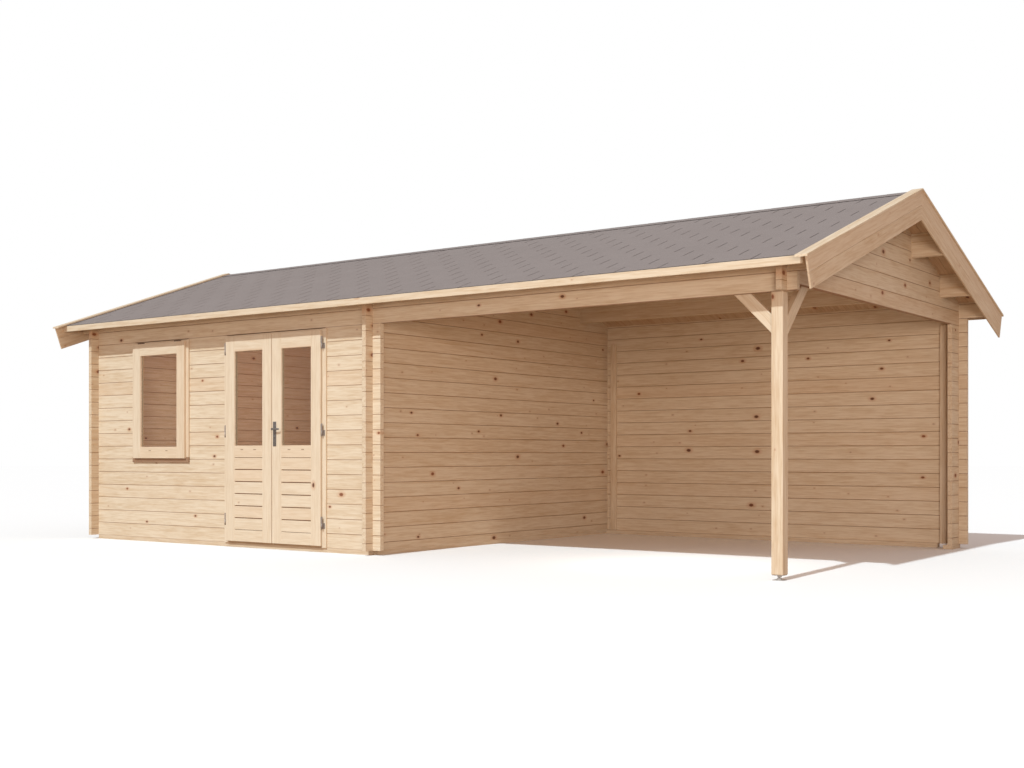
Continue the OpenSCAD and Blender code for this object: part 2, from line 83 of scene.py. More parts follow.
DOOR_LIP = 0.018  # thickness and width of a door leaf's lip
SASH_SLAB, SASH_LIP = 0.0227, 0.014  # the same of the sash
WINDOW_CASING_LOW = 0.0323  # how far the low casing hangs below the cut
Colour = tuple[float, float, float]
Span = tuple[float, float]
Socket = bpy.types.NodeSocket
Value = Union[bpy.types.NodeSocket, float, tuple, None]
JOINTS: dict[str, tuple[float, float, float]] = {}


# ---------------------------------------------------------------- node graphs


class Graph:
    """Builds one material's node tree; its methods return output sockets."""

    def __init__(self, name: str) -> None:
        """Makes an empty material.

        Args:
            name: name of the material.
        """
        self.material = bpy.data.materials.new(name)
        self.material.use_nodes = True
        self.tree = self.material.node_tree
        self.tree.nodes.clear()

    def node(self, kind: str, *feeds: Value, **settings: object) -> bpy.types.Node:
        """Adds a node.

        Args:
            kind: the node's type name.
            feeds: a value or socket for each input in order; None leaves one alone.
            settings: properties set on the node.

        Returns:
            The node.
        """
        made = self.tree.nodes.new(kind)
        for key, value in settings.items():
            setattr(made, key, value)
        for index, feed in enumerate(feeds):
            self.feed(made.inputs[index], feed)
        return made

    def feed(self, socket: Socket, value: Value) -> None:
        """Links a socket or sets a value on an input.

        Args:
            socket: the input.
            value: a socket, a value, or None to leave the input alone.
        """
        if value is None:
            return
        if isinstance(value, bpy.types.NodeSocket):
            self.tree.links.new(value, socket)
        else:
            socket.default_value = value

    def math(self, operation: str, *feeds: Value, clamp: bool = False) -> Socket:
        """A Math node's result."""
        return self.node("ShaderNodeMath", *feeds, operation=operation, use_clamp=clamp).outputs[0]

    def add(self, first: Value, second: Value) -> Socket:
        """Sum of two numbers."""
        return self.math("ADD", first, second)

    def sub(self, first: Value, second: Value) -> Socket:
        """First number less the second."""
        return self.math("SUBTRACT", first, second)

    def mul(self, first: Value, second: Value) -> Socket:
        """Product of two numbers."""
        return self.math("MULTIPLY", first, second)

    def div(self, first: Value, second: Value) -> Socket:
        """First number over the second."""
        return self.math("DIVIDE", first, second)

    def mad(self, value: Value, factor: Value, plus: Value, clamp: bool = False) -> Socket:
        """A number times a factor, plus a number."""
        return self.math("MULTIPLY_ADD", value, factor, plus, clamp=clamp)

    def point(self) -> Socket:
        """The shaded point in the object's own coordinates."""
        return self.node("ShaderNodeTexCoord").outputs["Object"]

    def length(self, first: Value, second: Value) -> Socket:
        """Length of a flat vector from its two parts."""
        return self.math("SQRT", self.add(self.mul(first, first), self.mul(second, second)))

    def relief(self, height: Socket, depth: float, shader: bpy.types.Node) -> None:
        """Bumps a shader's normal.

        Args:
            height: height socket.
            depth: height in metres that a value of 1 stands for.
            shader: the shader node.
        """
        made = self.node("ShaderNodeBump")
        made.inputs["Distance"].default_value = depth
        made.inputs["Strength"].default_value = 1.0
        self.feed(made.inputs["Height"], height)
        self.feed(shader.inputs["Normal"], made.outputs[0])

    def close(self, shader: bpy.types.Node) -> bpy.types.Material:
        """Ends the tree in a shader's output.

        Args:
            shader: the shader node.

        Returns:
            The finished material.
        """
        out = self.node("ShaderNodeOutputMaterial")
        self.feed(out.inputs["Surface"], shader.outputs[0])
        return self.material

    def dot(self, vector: Socket, axis: Sequence[float]) -> Socket:
        """Length of a vector along an axis."""
        return self.node("ShaderNodeVectorMath", vector, tuple(axis), operation="DOT_PRODUCT").outputs["Value"]

    def join(self, x: Value, y: Value, z: Value = 0.0) -> Socket:
        """A vector from three numbers or sockets."""
        return self.node("ShaderNodeCombineXYZ", x, y, z).outputs[0]

    def split(self, vector: Socket) -> tuple:
        """The three parts of a vector."""
        return tuple(self.node("ShaderNodeSeparateXYZ", vector).outputs)

    def noise(self, vector: Socket, scale: float, detail: float = 2.0, rough: float = 0.5) -> Socket:
        """Noise from 0 to 1 at a point.

        Args:
            vector: the point.
            scale: number of waves in a metre.
            detail: number of finer layers.
            rough: strength of the finer layers.

        Returns:
            The noise.
        """
        made = self.node("ShaderNodeTexNoise", vector)
        for key, value in (("Scale", scale), ("Detail", detail), ("Roughness", rough)):
            made.inputs[key].default_value = value
        return made.outputs["Fac"]

    def scatter(self, vector: Socket) -> tuple:
        """Three random numbers that are the same all over one cell.

        Args:
            vector: the cell's numbers.

        Returns:
            The three numbers.
        """
        made = self.node("ShaderNodeTexWhiteNoise", vector, noise_dimensions="3D")
        parts = self.node("ShaderNodeSeparateColor", made.outputs["Color"])
        return tuple(parts.outputs[:3])

    def step(self, value: Value, low: float, high: float, start: float = 0.0, stop: float = 1.0) -> Socket:
        """Smooth change from start to stop as value goes from low to high."""
        made = self.node("ShaderNodeMapRange", value, low, high, start, stop, interpolation_type="SMOOTHSTEP")
        return made.outputs[0]

    def mix(self, amount: Value, first: Value, second: Value) -> Socket:
        """A mix of two colours.

        Args:
            amount: share of the second colour.
            first: first colour.
            second: second colour.

        Returns:
            The mixed colour.
        """
        made = self.node("ShaderNodeMix", data_type="RGBA")
        self.feed(made.inputs[0], amount)
        for index, colour in ((6, first), (7, second)):
            self.feed(made.inputs[index], (*colour, 1.0) if isinstance(colour, tuple) else colour)
        return made.outputs[2]

    def surface(
        self, colour: Value, rough: Value, bump: Value = None, depth: float = 0.0003, metal: float = 0.0
    ) -> bpy.types.Material:
        """Ends the tree in a Principled shader.

        Args:
            colour: colour socket or three numbers.
            rough: roughness socket or number.
            bump: height socket, or None.
            depth: height in metres that a bump of 1 stands for.
            metal: metallic value.

        Returns:
            The finished material.
        """
        shader = self.node("ShaderNodeBsdfPrincipled")
        self.feed(shader.inputs["Base Color"], (*colour, 1.0) if isinstance(colour, tuple) else colour)
        self.feed(shader.inputs["Roughness"], rough)
        shader.inputs["Metallic"].default_value = metal
        if bump is not None:
            self.relief(bump, depth, shader)
        return self.close(shader)


# ---------------------------------------------------------------- finishes


class Grain(Enum):
    """How a board lies: the directions along its grain, across it and through it, and if both slopes match."""

    LENGTH = ((1, 0, 0), (0, 0, 1), (0, 1, 0), False)
    FLOOR = ((1, 0, 0), (0, 1, 0), (0, 0, 1), False)
    DEPTH = ((0, 1, 0), (0, 0, 1), (1, 0, 0), False)
    UPRIGHT = ((0, 0, 1), (1, 0, 0), (0, 1, 0), False)
    DECK = ((0, RUN, -RISE), (1, 0, 0), (0, RISE, RUN), True)
    VERGE = ((0, RUN, -RISE), (0, RISE, RUN), (1, 0, 0), True)
    CAP = ((0, RUN, -RISE), (1, 0, 0), (0, RISE, RUN), True)
    BRACE_FRONT = ((-HALF, 0, HALF), (HALF, 0, HALF), (0, 1, 0), False)
    BRACE_SIDE = ((0, HALF, HALF), (0, HALF, -HALF), (1, 0, 0), False)


KNOT_RING: Colour = (0.52, 0.22, 0.085)
KNOT_DARK: Colour = (0.10, 0.026, 0.010)
KNOT_WARM: Colour = (0.22, 0.062, 0.022)
# colour of the dark line along each log joint: painted shade at the bottom of the V groove
JOINT_SHADE: Colour = (0.27, 0.115, 0.050)
RING_SPACE = 0.0062  # distance between growth rings


@dataclass(frozen=True)
class Timber:
    """A planed softwood finish."""

    name: str
    grain: Grain
    course: float = 0.5
    first: float = 0.0
    joint: float = 0.0
    knots: float = 0.5
    variety: float = 1.0
    pale: Colour = (0.745, 0.615, 0.462)
    deep: Colour = (0.560, 0.385, 0.225)
    seed: float = 1.0

    def knot_layer(self, g: Graph, along, across, board, lot, cell: float, size: float) -> tuple:
        """Scatters knots along each board.

        Args:
            g: the node graph.
            along: place along the grain.
            across: place across the board, from 0 to 1.
            board: number of the board.
            lot: random number of the board.
            cell: mean distance between knots along a board.
            size: radius of the largest knot.

        Returns:
            The knot's mask, and the mask of the darker ring and stain round it.
        """
        place = g.add(g.div(along, cell), g.mul(lot, 9.7))
        index = g.math("FLOOR", place)
        offset, height, kind = g.scatter(g.join(index, board, self.seed + cell))
        du = g.sub(g.sub(place, index), g.mad(offset, 0.7, 0.15))
        dv = g.sub(across, g.mad(height, 0.64, 0.18))
        du = g.mul(du, cell * 0.62)
        dv = g.mul(dv, self.course)
        reach = g.length(du, dv)
        wobble = g.noise(g.join(along, g.mul(across, 0.13), board), 90.0, 1.0)
        reach = g.mad(wobble, 0.004, g.sub(reach, 0.002))
        chosen = g.step(kind, 1.0 - self.knots, 1.0, 0.55 * size, size)
        chosen = g.mul(chosen, g.math("GREATER_THAN", kind, 1.0 - self.knots))
        ratio = g.div(reach, g.math("MAXIMUM", chosen, 0.0001))
        return g.step(ratio, 0.6, 1.25, 1.0, 0.0), g.step(ratio, 0.9, 2.8, 1.0, 0.0)

    def make(self) -> bpy.types.Material:
        """Builds the material.

        Returns:
            The material.
        """
        g = Graph(self.name)
        along_axis, across_axis, through_axis, mirrored = self.grain.value
        point = g.point()
        if mirrored:
            x, y, z = g.split(point)
            point = g.join(x, g.math("ABSOLUTE", y), z)
        along = g.dot(point, along_axis)
        side = g.dot(point, across_axis)
        through = g.dot(point, through_axis)
        place = g.div(g.sub(side, self.first), self.course)
        board = g.math("FLOOR", place)
        across = g.sub(place, board)
        tone, heart, warmth = g.scatter(g.join(board, self.seed, 3.0))

        small, small_ring = self.knot_layer(g, along, across, board, tone, 0.47, 0.0080)
        large, large_ring = self.knot_layer(g, along, across, board, heart, 0.93, 0.0170)
        knot = g.math("MAXIMUM", g.mul(small, 0.32), large)
        ring = g.math("MAXIMUM", g.mul(small_ring, 0.5), large_ring)

        drift = g.noise(g.join(g.mul(along, 0.55), g.mul(board, 3.7), self.seed), 1.0, 2.0)
        wander = g.noise(g.join(g.mul(along, 3.0), g.mul(side, 14.0), board), 1.0, 2.0)
        width = min(self.course, 0.2)
        middle = g.mad(heart, 1.3 * width, g.mad(drift, 0.09, -0.045 - 0.65 * width))
        dv = g.sub(g.mul(g.sub(across, 0.5), self.course), middle)
        dw = g.add(through, g.mad(tone, 0.05, 0.03))
        core = g.length(dv, dw)
        core = g.mad(wander, 0.012, core)
        core = g.mad(ring, 0.004, core)
        wave = g.math("SINE", g.mul(core, 2.0 * math.pi / RING_SPACE))
        figure = g.math("POWER", g.mad(wave, 0.5, 0.5), 2.5)

        def threads(length: float, fine: float, detail: float, rough: float) -> Socket:
            """Noise drawn out along the grain."""
            place = g.join(g.mul(along, length), g.mul(side, fine), g.mul(through, fine))
            return g.noise(place, 1.0, detail, rough)

        fibre = threads(5.0, 210.0, 3.0, 0.6)
        streak = threads(1.6, 42.0, 3.0, 0.55)
        band = threads(5.5, 95.0, 2.0, 0.6)
        cloud = g.noise(g.join(g.mul(along, 0.9), g.mul(side, 4.0), board), 1.0, 2.0)

        depth = g.mul(figure, g.mad(cloud, 0.30, 0.04))
        shares = ((fibre, 0.45, 0.8, 0.14), (streak, 0.38, 0.64, 0.30), (band, 0.40, 0.62, 0.34))
        for thread, low, high, share in shares:
            depth = g.mad(g.step(thread, low, high), share, depth)
        depth = g.mad(tone, 0.20 * self.variety, depth)
        depth = g.mad(cloud, 0.26, g.sub(depth, 0.30), clamp=True)
        colour = g.mix(depth, self.pale, self.deep)
        blush = tuple(v * f for v, f in zip(self.deep, (1.04, 0.80, 0.62)))
        colour = g.mix(g.mul(g.step(warmth, 0.55, 1.0), 0.16), colour, blush)
        colour = g.mix(g.mul(ring, 0.42), colour, KNOT_RING)
        dark = g.mix(g.step(warmth, 0.2, 0.8), KNOT_DARK, KNOT_WARM)
        colour = g.mix(g.mul(knot, 0.92), colour, dark)
        height = g.mad(figure, -0.25, g.mul(fibre, 0.5))
        height = g.mad(knot, -0.5, height)
        # Dark line along each log joint, thinned out here and there: painted shade in the V groove between logs.
        if self.joint:
            edge = g.mul(g.math("MINIMUM", across, g.sub(1.0, across)), self.course)
            joint_shade = g.step(edge, self.joint * 0.6, self.joint * 2.0, 1.0, 0.0)
            joint_shade = g.mul(joint_shade, g.step(drift, 0.3, 0.7, 0.6, 0.9))
            colour = g.mix(joint_shade, colour, JOINT_SHADE)
        rough = g.mad(fibre, 0.16, 0.52)
        return g.surface(colour, rough, height, 0.00022)


@dataclass(frozen=True)
class Shingle:
    """Mineral-faced roof shingles, laid in half-lapped rows."""

    name: str
    tab: float
    exposure: float
    start: float
    phase: float
    top: Colour = (0.284, 0.239, 0.228)
    low: Colour = (0.232, 0.192, 0.182)

    def make(self) -> bpy.types.Material:
        """Builds the material.

        Returns:
            The material.
        """
        g = Graph(self.name)
        point = g.point()
        x, y, _ = g.split(point)
        down = g.div(g.math("ABSOLUTE", y), RUN)
        row = g.math("FLOOR", g.div(g.sub(self.start, down), self.exposure))
        shift = g.mul(g.math("MODULO", row, 2.0), 0.5)
        column = g.div(g.sub(g.mul(x, g.math("SIGN", y)), -self.phase), self.tab)
        column = g.math("FLOOR", g.add(column, shift))
        tone = g.scatter(g.join(column, row, g.math("SIGN", y)))[0]
        grit = g.noise(point, 420.0, 2.0, 0.7)
        salt = g.noise(point, 900.0, 1.0, 0.5)
        cloud = g.noise(point, 2.3, 3.0)
        depth = g.mad(tone, 0.16, g.mad(cloud, 0.5, -0.05))
        colour = g.mix(depth, self.top, self.low)
        colour = g.mix(g.step(grit, 0.35, 0.75, 0.0, 0.45), colour, (0.14, 0.125, 0.118))
        colour = g.mix(g.step(salt, 0.58, 0.75, 0.0, 0.4), colour, (0.50, 0.47, 0.45))
        return g.surface(colour, 0.94, g.add(grit, salt), 0.0009)


@dataclass(frozen=True)
class Coat:
    """A plain finish with fine mottling: metal, bitumen, rubber, plastic, and the dark brown and near-black used as
    painted shade.
    """

    name: str
    base: Colour
    mark: Colour
    scale: float
    rough: float
    metal: float = 0.0
    relief: float = 0.00008

    def make(self) -> bpy.types.Material:
        """Builds the material.

        Returns:
            The material.
        """
        g = Graph(self.name)
        point = g.point()
        patch = g.noise(point, self.scale, 3.0, 0.6)
        fine = g.noise(point, self.scale * 7.0, 2.0)
        colour = g.mix(g.step(patch, 0.35, 0.7), self.base, self.mark)
        rough = g.mad(fine, 0.18, self.rough - 0.09)
        return g.surface(colour, rough, fine, self.relief, self.metal)


@dataclass(frozen=True)
class Pane:
    """Clear window glass that lets lamps through."""

    name: str
    tint: Colour = (0.90, 0.93, 0.92)

    def make(self) -> bpy.types.Material:
        """Builds the material.

        Returns:
            The material.
        """
        g = Graph(self.name)
        clear = g.node("ShaderNodeBsdfTransparent", (*self.tint, 1.0))
        gloss = g.node("ShaderNodeBsdfGlossy")
        gloss.inputs["Roughness"].default_value = 0.02
        gloss.inputs["Color"].default_value = (1.0, 1.0, 1.0, 1.0)
        facing = g.node("ShaderNodeLayerWeight", 0.5).outputs["Facing"]
        share = g.mad(g.math("POWER", facing, 5.0), 0.96, 0.04)
        g.relief(g.noise(g.point(), 1.7, 1.0), 0.0004, gloss)
        return g.close(g.node("ShaderNodeMixShader", share, clear.outputs[0], gloss.outputs[0]))


class Finishes:
    """Every finish of the cabin, made once."""

    PALE_FRONT, DEEP_FRONT = (0.775, 0.648, 0.49), (0.585, 0.415, 0.25)
    PALE_DOOR, DEEP_DOOR = (0.775, 0.645, 0.49), (0.64, 0.485, 0.325)
    LOGS_FRONT = Timber(
        "logs_front", Grain.LENGTH, COURSE, FOOT, 0.0019, 0.30, 0.6, PALE_FRONT, DEEP_FRONT, seed=1.0
    )
    LOGS_SIDE = Timber("logs_side", Grain.DEPTH, COURSE, FOOT + COURSE / 2, 0.0019, 0.34, seed=5.0)
    POST = Timber("post_timber", Grain.UPRIGHT, 0.30, 3.66, 0.0, 0.16, 0.5, seed=9.0)
    BATTEN = Timber("batten_timber", Grain.UPRIGHT, 0.40, 0.06, 0.0, 0.45, seed=12.0)
    BRACE_FRONT = Timber("front_brace_timber", Grain.BRACE_FRONT, 0.40, 0.11, 0.0, 0.0, seed=14.0)
    BRACE_SIDE = Timber("side_brace_timber", Grain.BRACE_SIDE, 0.40, 0.17, 0.0, 0.0, seed=15.0)
    PURLIN = Timber("purlin_timber", Grain.LENGTH, 0.62, 0.20, 0.0, 0.25, seed=17.0)
    BEAM_LONG = Timber("beam_long_timber", Grain.FLOOR, 0.31, 0.02, 0.0, 0.2, seed=19.0)
    BEAM_CROSS = Timber("beam_cross_timber", Grain.DEPTH, 0.40, -0.2, 0.0, 0.2, seed=20.0)
    # The roof boards are darker than the other timber: painted shade for the underside of the roof.
    PALE_DECK, DEEP_DECK = (0.62, 0.45, 0.29), (0.47, 0.29, 0.16)
    DECK = Timber("deck_timber_painted_shade", Grain.DECK, 8.338 / 87, -4.169, 0.0, 0.30, 1.0, PALE_DECK, DEEP_DECK, seed=21.0)
    VERGE = Timber("verge_timber", Grain.VERGE, 0.113, 2.8527, 0.0, 0.20, seed=23.0)
    CAP = Timber("cap_timber", Grain.CAP, 0.60, -0.3, 0.0, 0.22, seed=24.0)
    EAVES = Timber("eaves_timber", Grain.LENGTH, 0.30, 2.06, 0.0, 0.30, seed=25.0)
    FLOOR = Timber("floor_timber", Grain.FLOOR, 0.12, -1.906, 0.0, 0.40, seed=27.0)
    STILE = Timber("stile_timber", Grain.UPRIGHT, 0.31, 0.11, 0.0, 0.16, 0.5, PALE_DOOR, DEEP_DOOR, seed=31.0)
    RAIL = Timber("rail_timber", Grain.LENGTH, 0.115, 0.053, 0.0, 0.14, 0.3, PALE_DOOR, DEEP_DOOR, seed=33.0)
    # Dark brown finish of the window's sill: painted shade under the sash.
    SILL_SHADE = Timber(
        "sill_painted_shade", Grain.LENGTH, 0.3, 0.9, 0.0, 0.0, 0.3, (0.36, 0.215, 0.13), (0.27, 0.145, 0.08), seed=34.0
    )
    SILL = Timber(
        "threshold_timber", Grain.LENGTH, 0.30, 0.0, 0.0, 0.0, 0.3, (0.52, 0.36, 0.22), (0.40, 0.25, 0.14), seed=35.0
    )
    STEEL = Coat("galvanised_steel", (0.62, 0.60, 0.58), (0.50, 0.48, 0.46), 95.0, 0.42, 0.35)
    # One hinge metal in two tones: the darker is painted shade on the right, the paler painted light on the left.
    HINGE = Coat("hinge_metal", (0.36, 0.30, 0.265), (0.28, 0.23, 0.20), 80.0, 0.5, 0.3)
    HINGE_PAINTED_LIT = Coat("hinge_metal_painted_lit", (0.50, 0.42, 0.36), (0.42, 0.35, 0.30), 80.0, 0.5, 0.3)
    CATCH = Coat("sash_hinge_metal", (0.12, 0.070, 0.050), (0.085, 0.05, 0.036), 80.0, 0.5, 0.2)
    # Dark brown of the core behind a door's panel boards: painted shade in the grooves between them.
    GROOVE_SHADE = Coat("painted_groove_shade", (0.30, 0.155, 0.080), (0.23, 0.115, 0.058), 60.0, 0.7)
    IRON = Coat("handle_metal", (0.25, 0.235, 0.225), (0.19, 0.175, 0.165), 60.0, 0.36, 0.6)
    # Near-black felt under the tabs, seen through their slots: painted shade for the shadowed row beneath.
    UNDERLAY_SLOT_SHADE = Coat("felt_painted_slot_shade", (0.060, 0.052, 0.050), (0.042, 0.036, 0.034), 40.0, 0.9, 0.0, 0.0004)
    RUBBER = Coat("brown_gasket", (0.26, 0.17, 0.11), (0.20, 0.13, 0.085), 120.0, 0.75)
    SLOT = Coat("drain_cap", (0.42, 0.30, 0.20), (0.34, 0.23, 0.15), 90.0, 0.6)
    PANE = Pane("clear_glass")

    _made: dict[str, bpy.types.Material] = {}

    @classmethod
    def get(cls, finish) -> bpy.types.Material:
        """The material of a finish, made at its first use.

        Args:
            finish: the finish.

        Returns:
            The material.
        """
        if finish.name not in cls._made:
            cls._made[finish.name] = finish.make()
        return cls._made[finish.name]


# ---------------------------------------------------------------- bench: modelling steps


class Bench:
    """Modelling steps done with Blender's own operators."""

    @staticmethod
    def only(*objects: bpy.types.Object) -> None:
        """Selects these objects alone; the first is active.

        Args:
            objects: the objects.
        """
        bpy.ops.object.select_all(action="DESELECT")
        for item in objects:
            item.select_set(True)
        bpy.context.view_layer.objects.active = objects[0]

    @staticmethod
    def settle(item: bpy.types.Object) -> None:
        """Moves an object's place, turn and scale into its mesh."""
        Bench.only(item)
        bpy.ops.object.transform_apply(location=True, rotation=True, scale=True)

    @staticmethod
    def block(name: str, low: Sequence[float], high: Sequence[float]) -> bpy.types.Object:
        """Adds a box between two corners.

        Args:
            name: name of the object.
            low: lowest corner.
            high: highest corner.

        Returns:
            The object.
        """
        centre = [(a + b) / 2 for a, b in zip(low, high)]
        bpy.ops.object.select_all(action="DESELECT")
        bpy.ops.mesh.primitive_cube_add(size=1.0, location=centre)
        item = bpy.context.active_object
        item.name = name
        item.scale = [b - a for a, b in zip(low, high)]
        Bench.settle(item)
        return item

    @staticmethod
    def rod(
        name: str, start: Sequence[float], axis: str, radius: float, length: float, sides: int = 24
    ) -> bpy.types.Object:
        """Adds a round bar.

        Args:
            name: name of the object.
            start: centre of the lower end.
            axis: "X", "Y" or "Z".
            radius: radius of the bar.
            length: length along the axis.
            sides: number of sides.

        Returns:
            The object.
        """
        turn = {"X": (0.0, math.pi / 2, 0.0), "Y": (-math.pi / 2, 0.0, 0.0), "Z": (0.0, 0.0, 0.0)}[axis]
        step = {"X": (length / 2, 0, 0), "Y": (0, length / 2, 0), "Z": (0, 0, length / 2)}[axis]
        place = [a + b for a, b in zip(start, step)]
        bpy.ops.object.select_all(action="DESELECT")
        bpy.ops.mesh.primitive_cylinder_add(
            vertices=sides, radius=radius, depth=length, location=place, rotation=turn
        )
        item = bpy.context.active_object
        item.name = name
        Bench.settle(item)
        return item

    @staticmethod
    def edit(
        item: bpy.types.Object, pick: Optional[Callable[[Vector, Vector], bool]], action: Callable[[], object]
    ) -> None:
        """Runs an operator in edit mode.

        Args:
            item: the object.
            pick: chooses faces by centre and normal; None takes all.
            action: runs the operator.
        """
        Bench.only(item)
        bpy.ops.object.mode_set(mode="EDIT")
        bpy.ops.mesh.select_mode(type="FACE")
        bpy.ops.mesh.select_all(action="SELECT" if pick is None else "DESELECT")
        if pick is not None:
            mesh = bmesh.from_edit_mesh(item.data)
            for face in mesh.faces:
                face.select = pick(face.calc_center_median(), face.normal)
            mesh.select_flush_mode()
            bmesh.update_edit_mesh(item.data)
        action()
        bpy.ops.object.mode_set(mode="OBJECT")

    @staticmethod
    def slice(item: bpy.types.Object, point: Sequence[float], normal: Sequence[float], clear: bool = False) -> None:
        """Cuts the mesh at a plane.

        Args:
            item: the object.
            point: a point on the plane.
            normal: the plane's normal.
            clear: drops what lies on the normal's side and closes the cut.
        """
        Bench.edit(
            item,
            None,
            lambda: bpy.ops.mesh.bisect(
                plane_co=point, plane_no=normal, use_fill=clear, clear_outer=clear, threshold=1e-6
            ),
        )

    @staticmethod
    def push(item: bpy.types.Object, pick: Callable[[Vector, Vector], bool], by: Sequence[float]) -> None:
        """Extrudes faces.

        Args:
            item: the object.
            pick: chooses faces by centre and normal.
            by: the way and distance.
        """
        Bench.edit(
            item, pick, lambda: bpy.ops.mesh.extrude_region_move(TRANSFORM_OT_translate={"value": tuple(by)})
        )

    @staticmethod
    def soften(item: bpy.types.Object, width: float, segments: int = 1, angle: float = 35.0) -> None:
        """Rounds the sharp edges with a bevel that is applied.

        Args:
            item: the object.
            width: width of the bevel.
            segments: number of faces across it.
            angle: least angle between faces, in degrees.
        """
        made = item.modifiers.new("edge", "BEVEL")
        made.width = width
        made.segments = segments
        made.limit_method = "ANGLE"
        made.angle_limit = math.radians(angle)
        made.use_clamp_overlap = True
        Bench.only(item)
        bpy.ops.object.modifier_apply(modifier=made.name)

    @staticmethod
    def ease(item: bpy.types.Object, pick: Callable[[Vector, Vector], bool], width: float) -> None:
        """Chamfers chosen edges.

        Args:
            item: the object.
            pick: chooses edges by their two ends.
            width: width of the chamfer.
        """
        Bench.only(item)
        bpy.ops.object.mode_set(mode="EDIT")
        bpy.ops.mesh.select_mode(type="EDGE")
        bpy.ops.mesh.select_all(action="DESELECT")
        mesh = bmesh.from_edit_mesh(item.data)
        for edge in mesh.edges:
            edge.select = pick(edge.verts[0].co, edge.verts[1].co)
        bmesh.update_edit_mesh(item.data)
        bpy.ops.mesh.bevel(offset=width, segments=1)
        bpy.ops.object.mode_set(mode="OBJECT")

    @staticmethod
    def clone(node: bpy.types.Object, name: str) -> bpy.types.Object:
        """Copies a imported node, with its doubled corners merged.

        Args:
            node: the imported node.
            name: name of the copy.

        Returns:
            The copy, free of its parent and labels.
        """
        item = Bench.copy(node, Matrix.Identity(4))
        item.parent = None
        for key in list(item.keys()):
            del item[key]
        item.name = name
        Bench.edit(item, None, lambda: bpy.ops.mesh.remove_doubles(threshold=1e-5))
        return item

    @staticmethod
    def row(item: bpy.types.Object, step: Sequence[float], count: int, name: str) -> bpy.types.Object:
        """Copies an object along a line and joins them all.

        Args:
            item: the first object.
            step: way and distance from one to the next.
            count: number of objects in all.
            name: name of the result.

        Returns:
            The joined object.
        """
        moves = (Matrix.Translation([v * index for v in step]) for index in range(1, count))
        return Bench.merge([item] + [Bench.copy(item, move) for move in moves], name)

    @staticmethod
    def copy(item: bpy.types.Object, matrix: Matrix) -> bpy.types.Object:
        """Copies an object and its mesh.

        Args:
            item: the object.
            matrix: moves the copy's mesh.

        Returns:
            The copy.
        """
        other = item.copy()
        other.data = item.data.copy()
        other.data.transform(matrix)
        bpy.context.scene.collection.objects.link(other)
        return other

    @staticmethod
    def merge(items: Sequence[bpy.types.Object], name: str) -> bpy.types.Object:
        """Joins several objects into one.

        Args:
            items: the objects.
            name: name of the result.

        Returns:
            The joined object.
        """
        Bench.only(*items)
        if len(items) > 1:
            bpy.ops.object.join()
        items[0].name = name
        items[0].data.name = name
        return items[0]

    @staticmethod
    def paint(item: bpy.types.Object, finish) -> bpy.types.Object:
        """Gives an object one finish.

        Args:
            item: the object.
            finish: its finish.

        Returns:
            The object.
        """
        item.data.materials.clear()
        item.data.materials.append(Finishes.get(finish))
        return item

    @staticmethod
    def smooth(item: bpy.types.Object, angle: float = 40.0) -> None:
        """Shades faces smooth where they meet at less than an angle."""
        Bench.only(item)
        bpy.ops.object.shade_smooth_by_angle(angle=math.radians(angle))

    @staticmethod
    def placed(
        item: bpy.types.Object, body: str, slot: str, nodes: tuple[str, ...] = ()
    ) -> bpy.types.Object:
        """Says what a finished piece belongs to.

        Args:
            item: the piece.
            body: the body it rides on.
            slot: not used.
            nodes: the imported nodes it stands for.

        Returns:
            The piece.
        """
        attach(item, body)
        if nodes:
            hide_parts(*nodes)
        LOG.info("%s: %d faces, rides on %s", item.name, len(item.data.polygons), body)
        return item


# ---------------------------------------------------------------- plain timbers


@dataclass
class LogWalls:
    """Log walls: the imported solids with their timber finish."""

    along: tuple[str, ...] = ("front_wall_left", "front_wall_right", "front_top_logs", "back_wall")
    across: tuple[str, ...] = ("left_gable_wall", "partition_wall", "right_gable_wall", "right_corner_logs")

    def dress(self, nodes: dict) -> None:
        """Gives each wall the finish that follows its logs.

        Args:
            nodes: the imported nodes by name.
        """
        for names, finish in ((self.along, Finishes.LOGS_FRONT), (self.across, Finishes.LOGS_SIDE)):
            for name in names:
                Bench.paint(nodes[name], finish)
                LOG.info("%s: finish %s", name, finish.name)


class SawnTimbers:
    """Posts, beams, purlins and edge boards with eased edges."""

    @staticmethod
    def build(nodes: dict) -> None:
        """Makes an eased copy of each plain timber to stand for its node.

        Args:
            nodes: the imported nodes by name.
        """
        plan = (
            ("canopy_post", Finishes.POST, "wall_logs", 0.004),
            ("front_brace", Finishes.BRACE_FRONT, "wall_logs", 0.003),
            ("side_brace", Finishes.BRACE_SIDE, "wall_logs", 0.003),
            ("storm_battens", Finishes.BATTEN, "wall_logs", 0.004),
            ("ridge_purlin", Finishes.PURLIN, "roof_timber", 0.003),
            ("front_purlins", Finishes.PURLIN, "roof_timber", 0.003),
            ("rear_purlins", Finishes.PURLIN, "roof_timber", 0.003),
            ("eaves_boards", Finishes.EAVES, "joinery", 0.002),
            ("left_barge_boards", Finishes.VERGE, "joinery", 0.002),
            ("right_barge_boards", Finishes.VERGE, "joinery", 0.002),
            ("left_cap_boards", Finishes.CAP, "joinery", 0.002),
            ("right_cap_boards", Finishes.CAP, "joinery", 0.002),
            ("foundation_long_beams", Finishes.BEAM_LONG, "foundation", 0.002),
            ("foundation_cross_beams", Finishes.BEAM_CROSS, "foundation", 0.002),
            ("floor_bearers", Finishes.BEAM_CROSS, "foundation", 0.002),
            ("door_threshold", Finishes.SILL, "threshold", 0.003),
        )
        for name, finish, slot, easing in plan:
            item = Bench.clone(nodes[name], f"eased_{name}")
            Bench.edit(item, None, lambda: bpy.ops.mesh.dissolve_limited(angle_limit=math.radians(0.5)))
            Bench.soften(item, easing, 2)
            Bench.paint(item, finish)
            Bench.placed(item, "root", slot, (name,))


# ---------------------------------------------------------------- roof


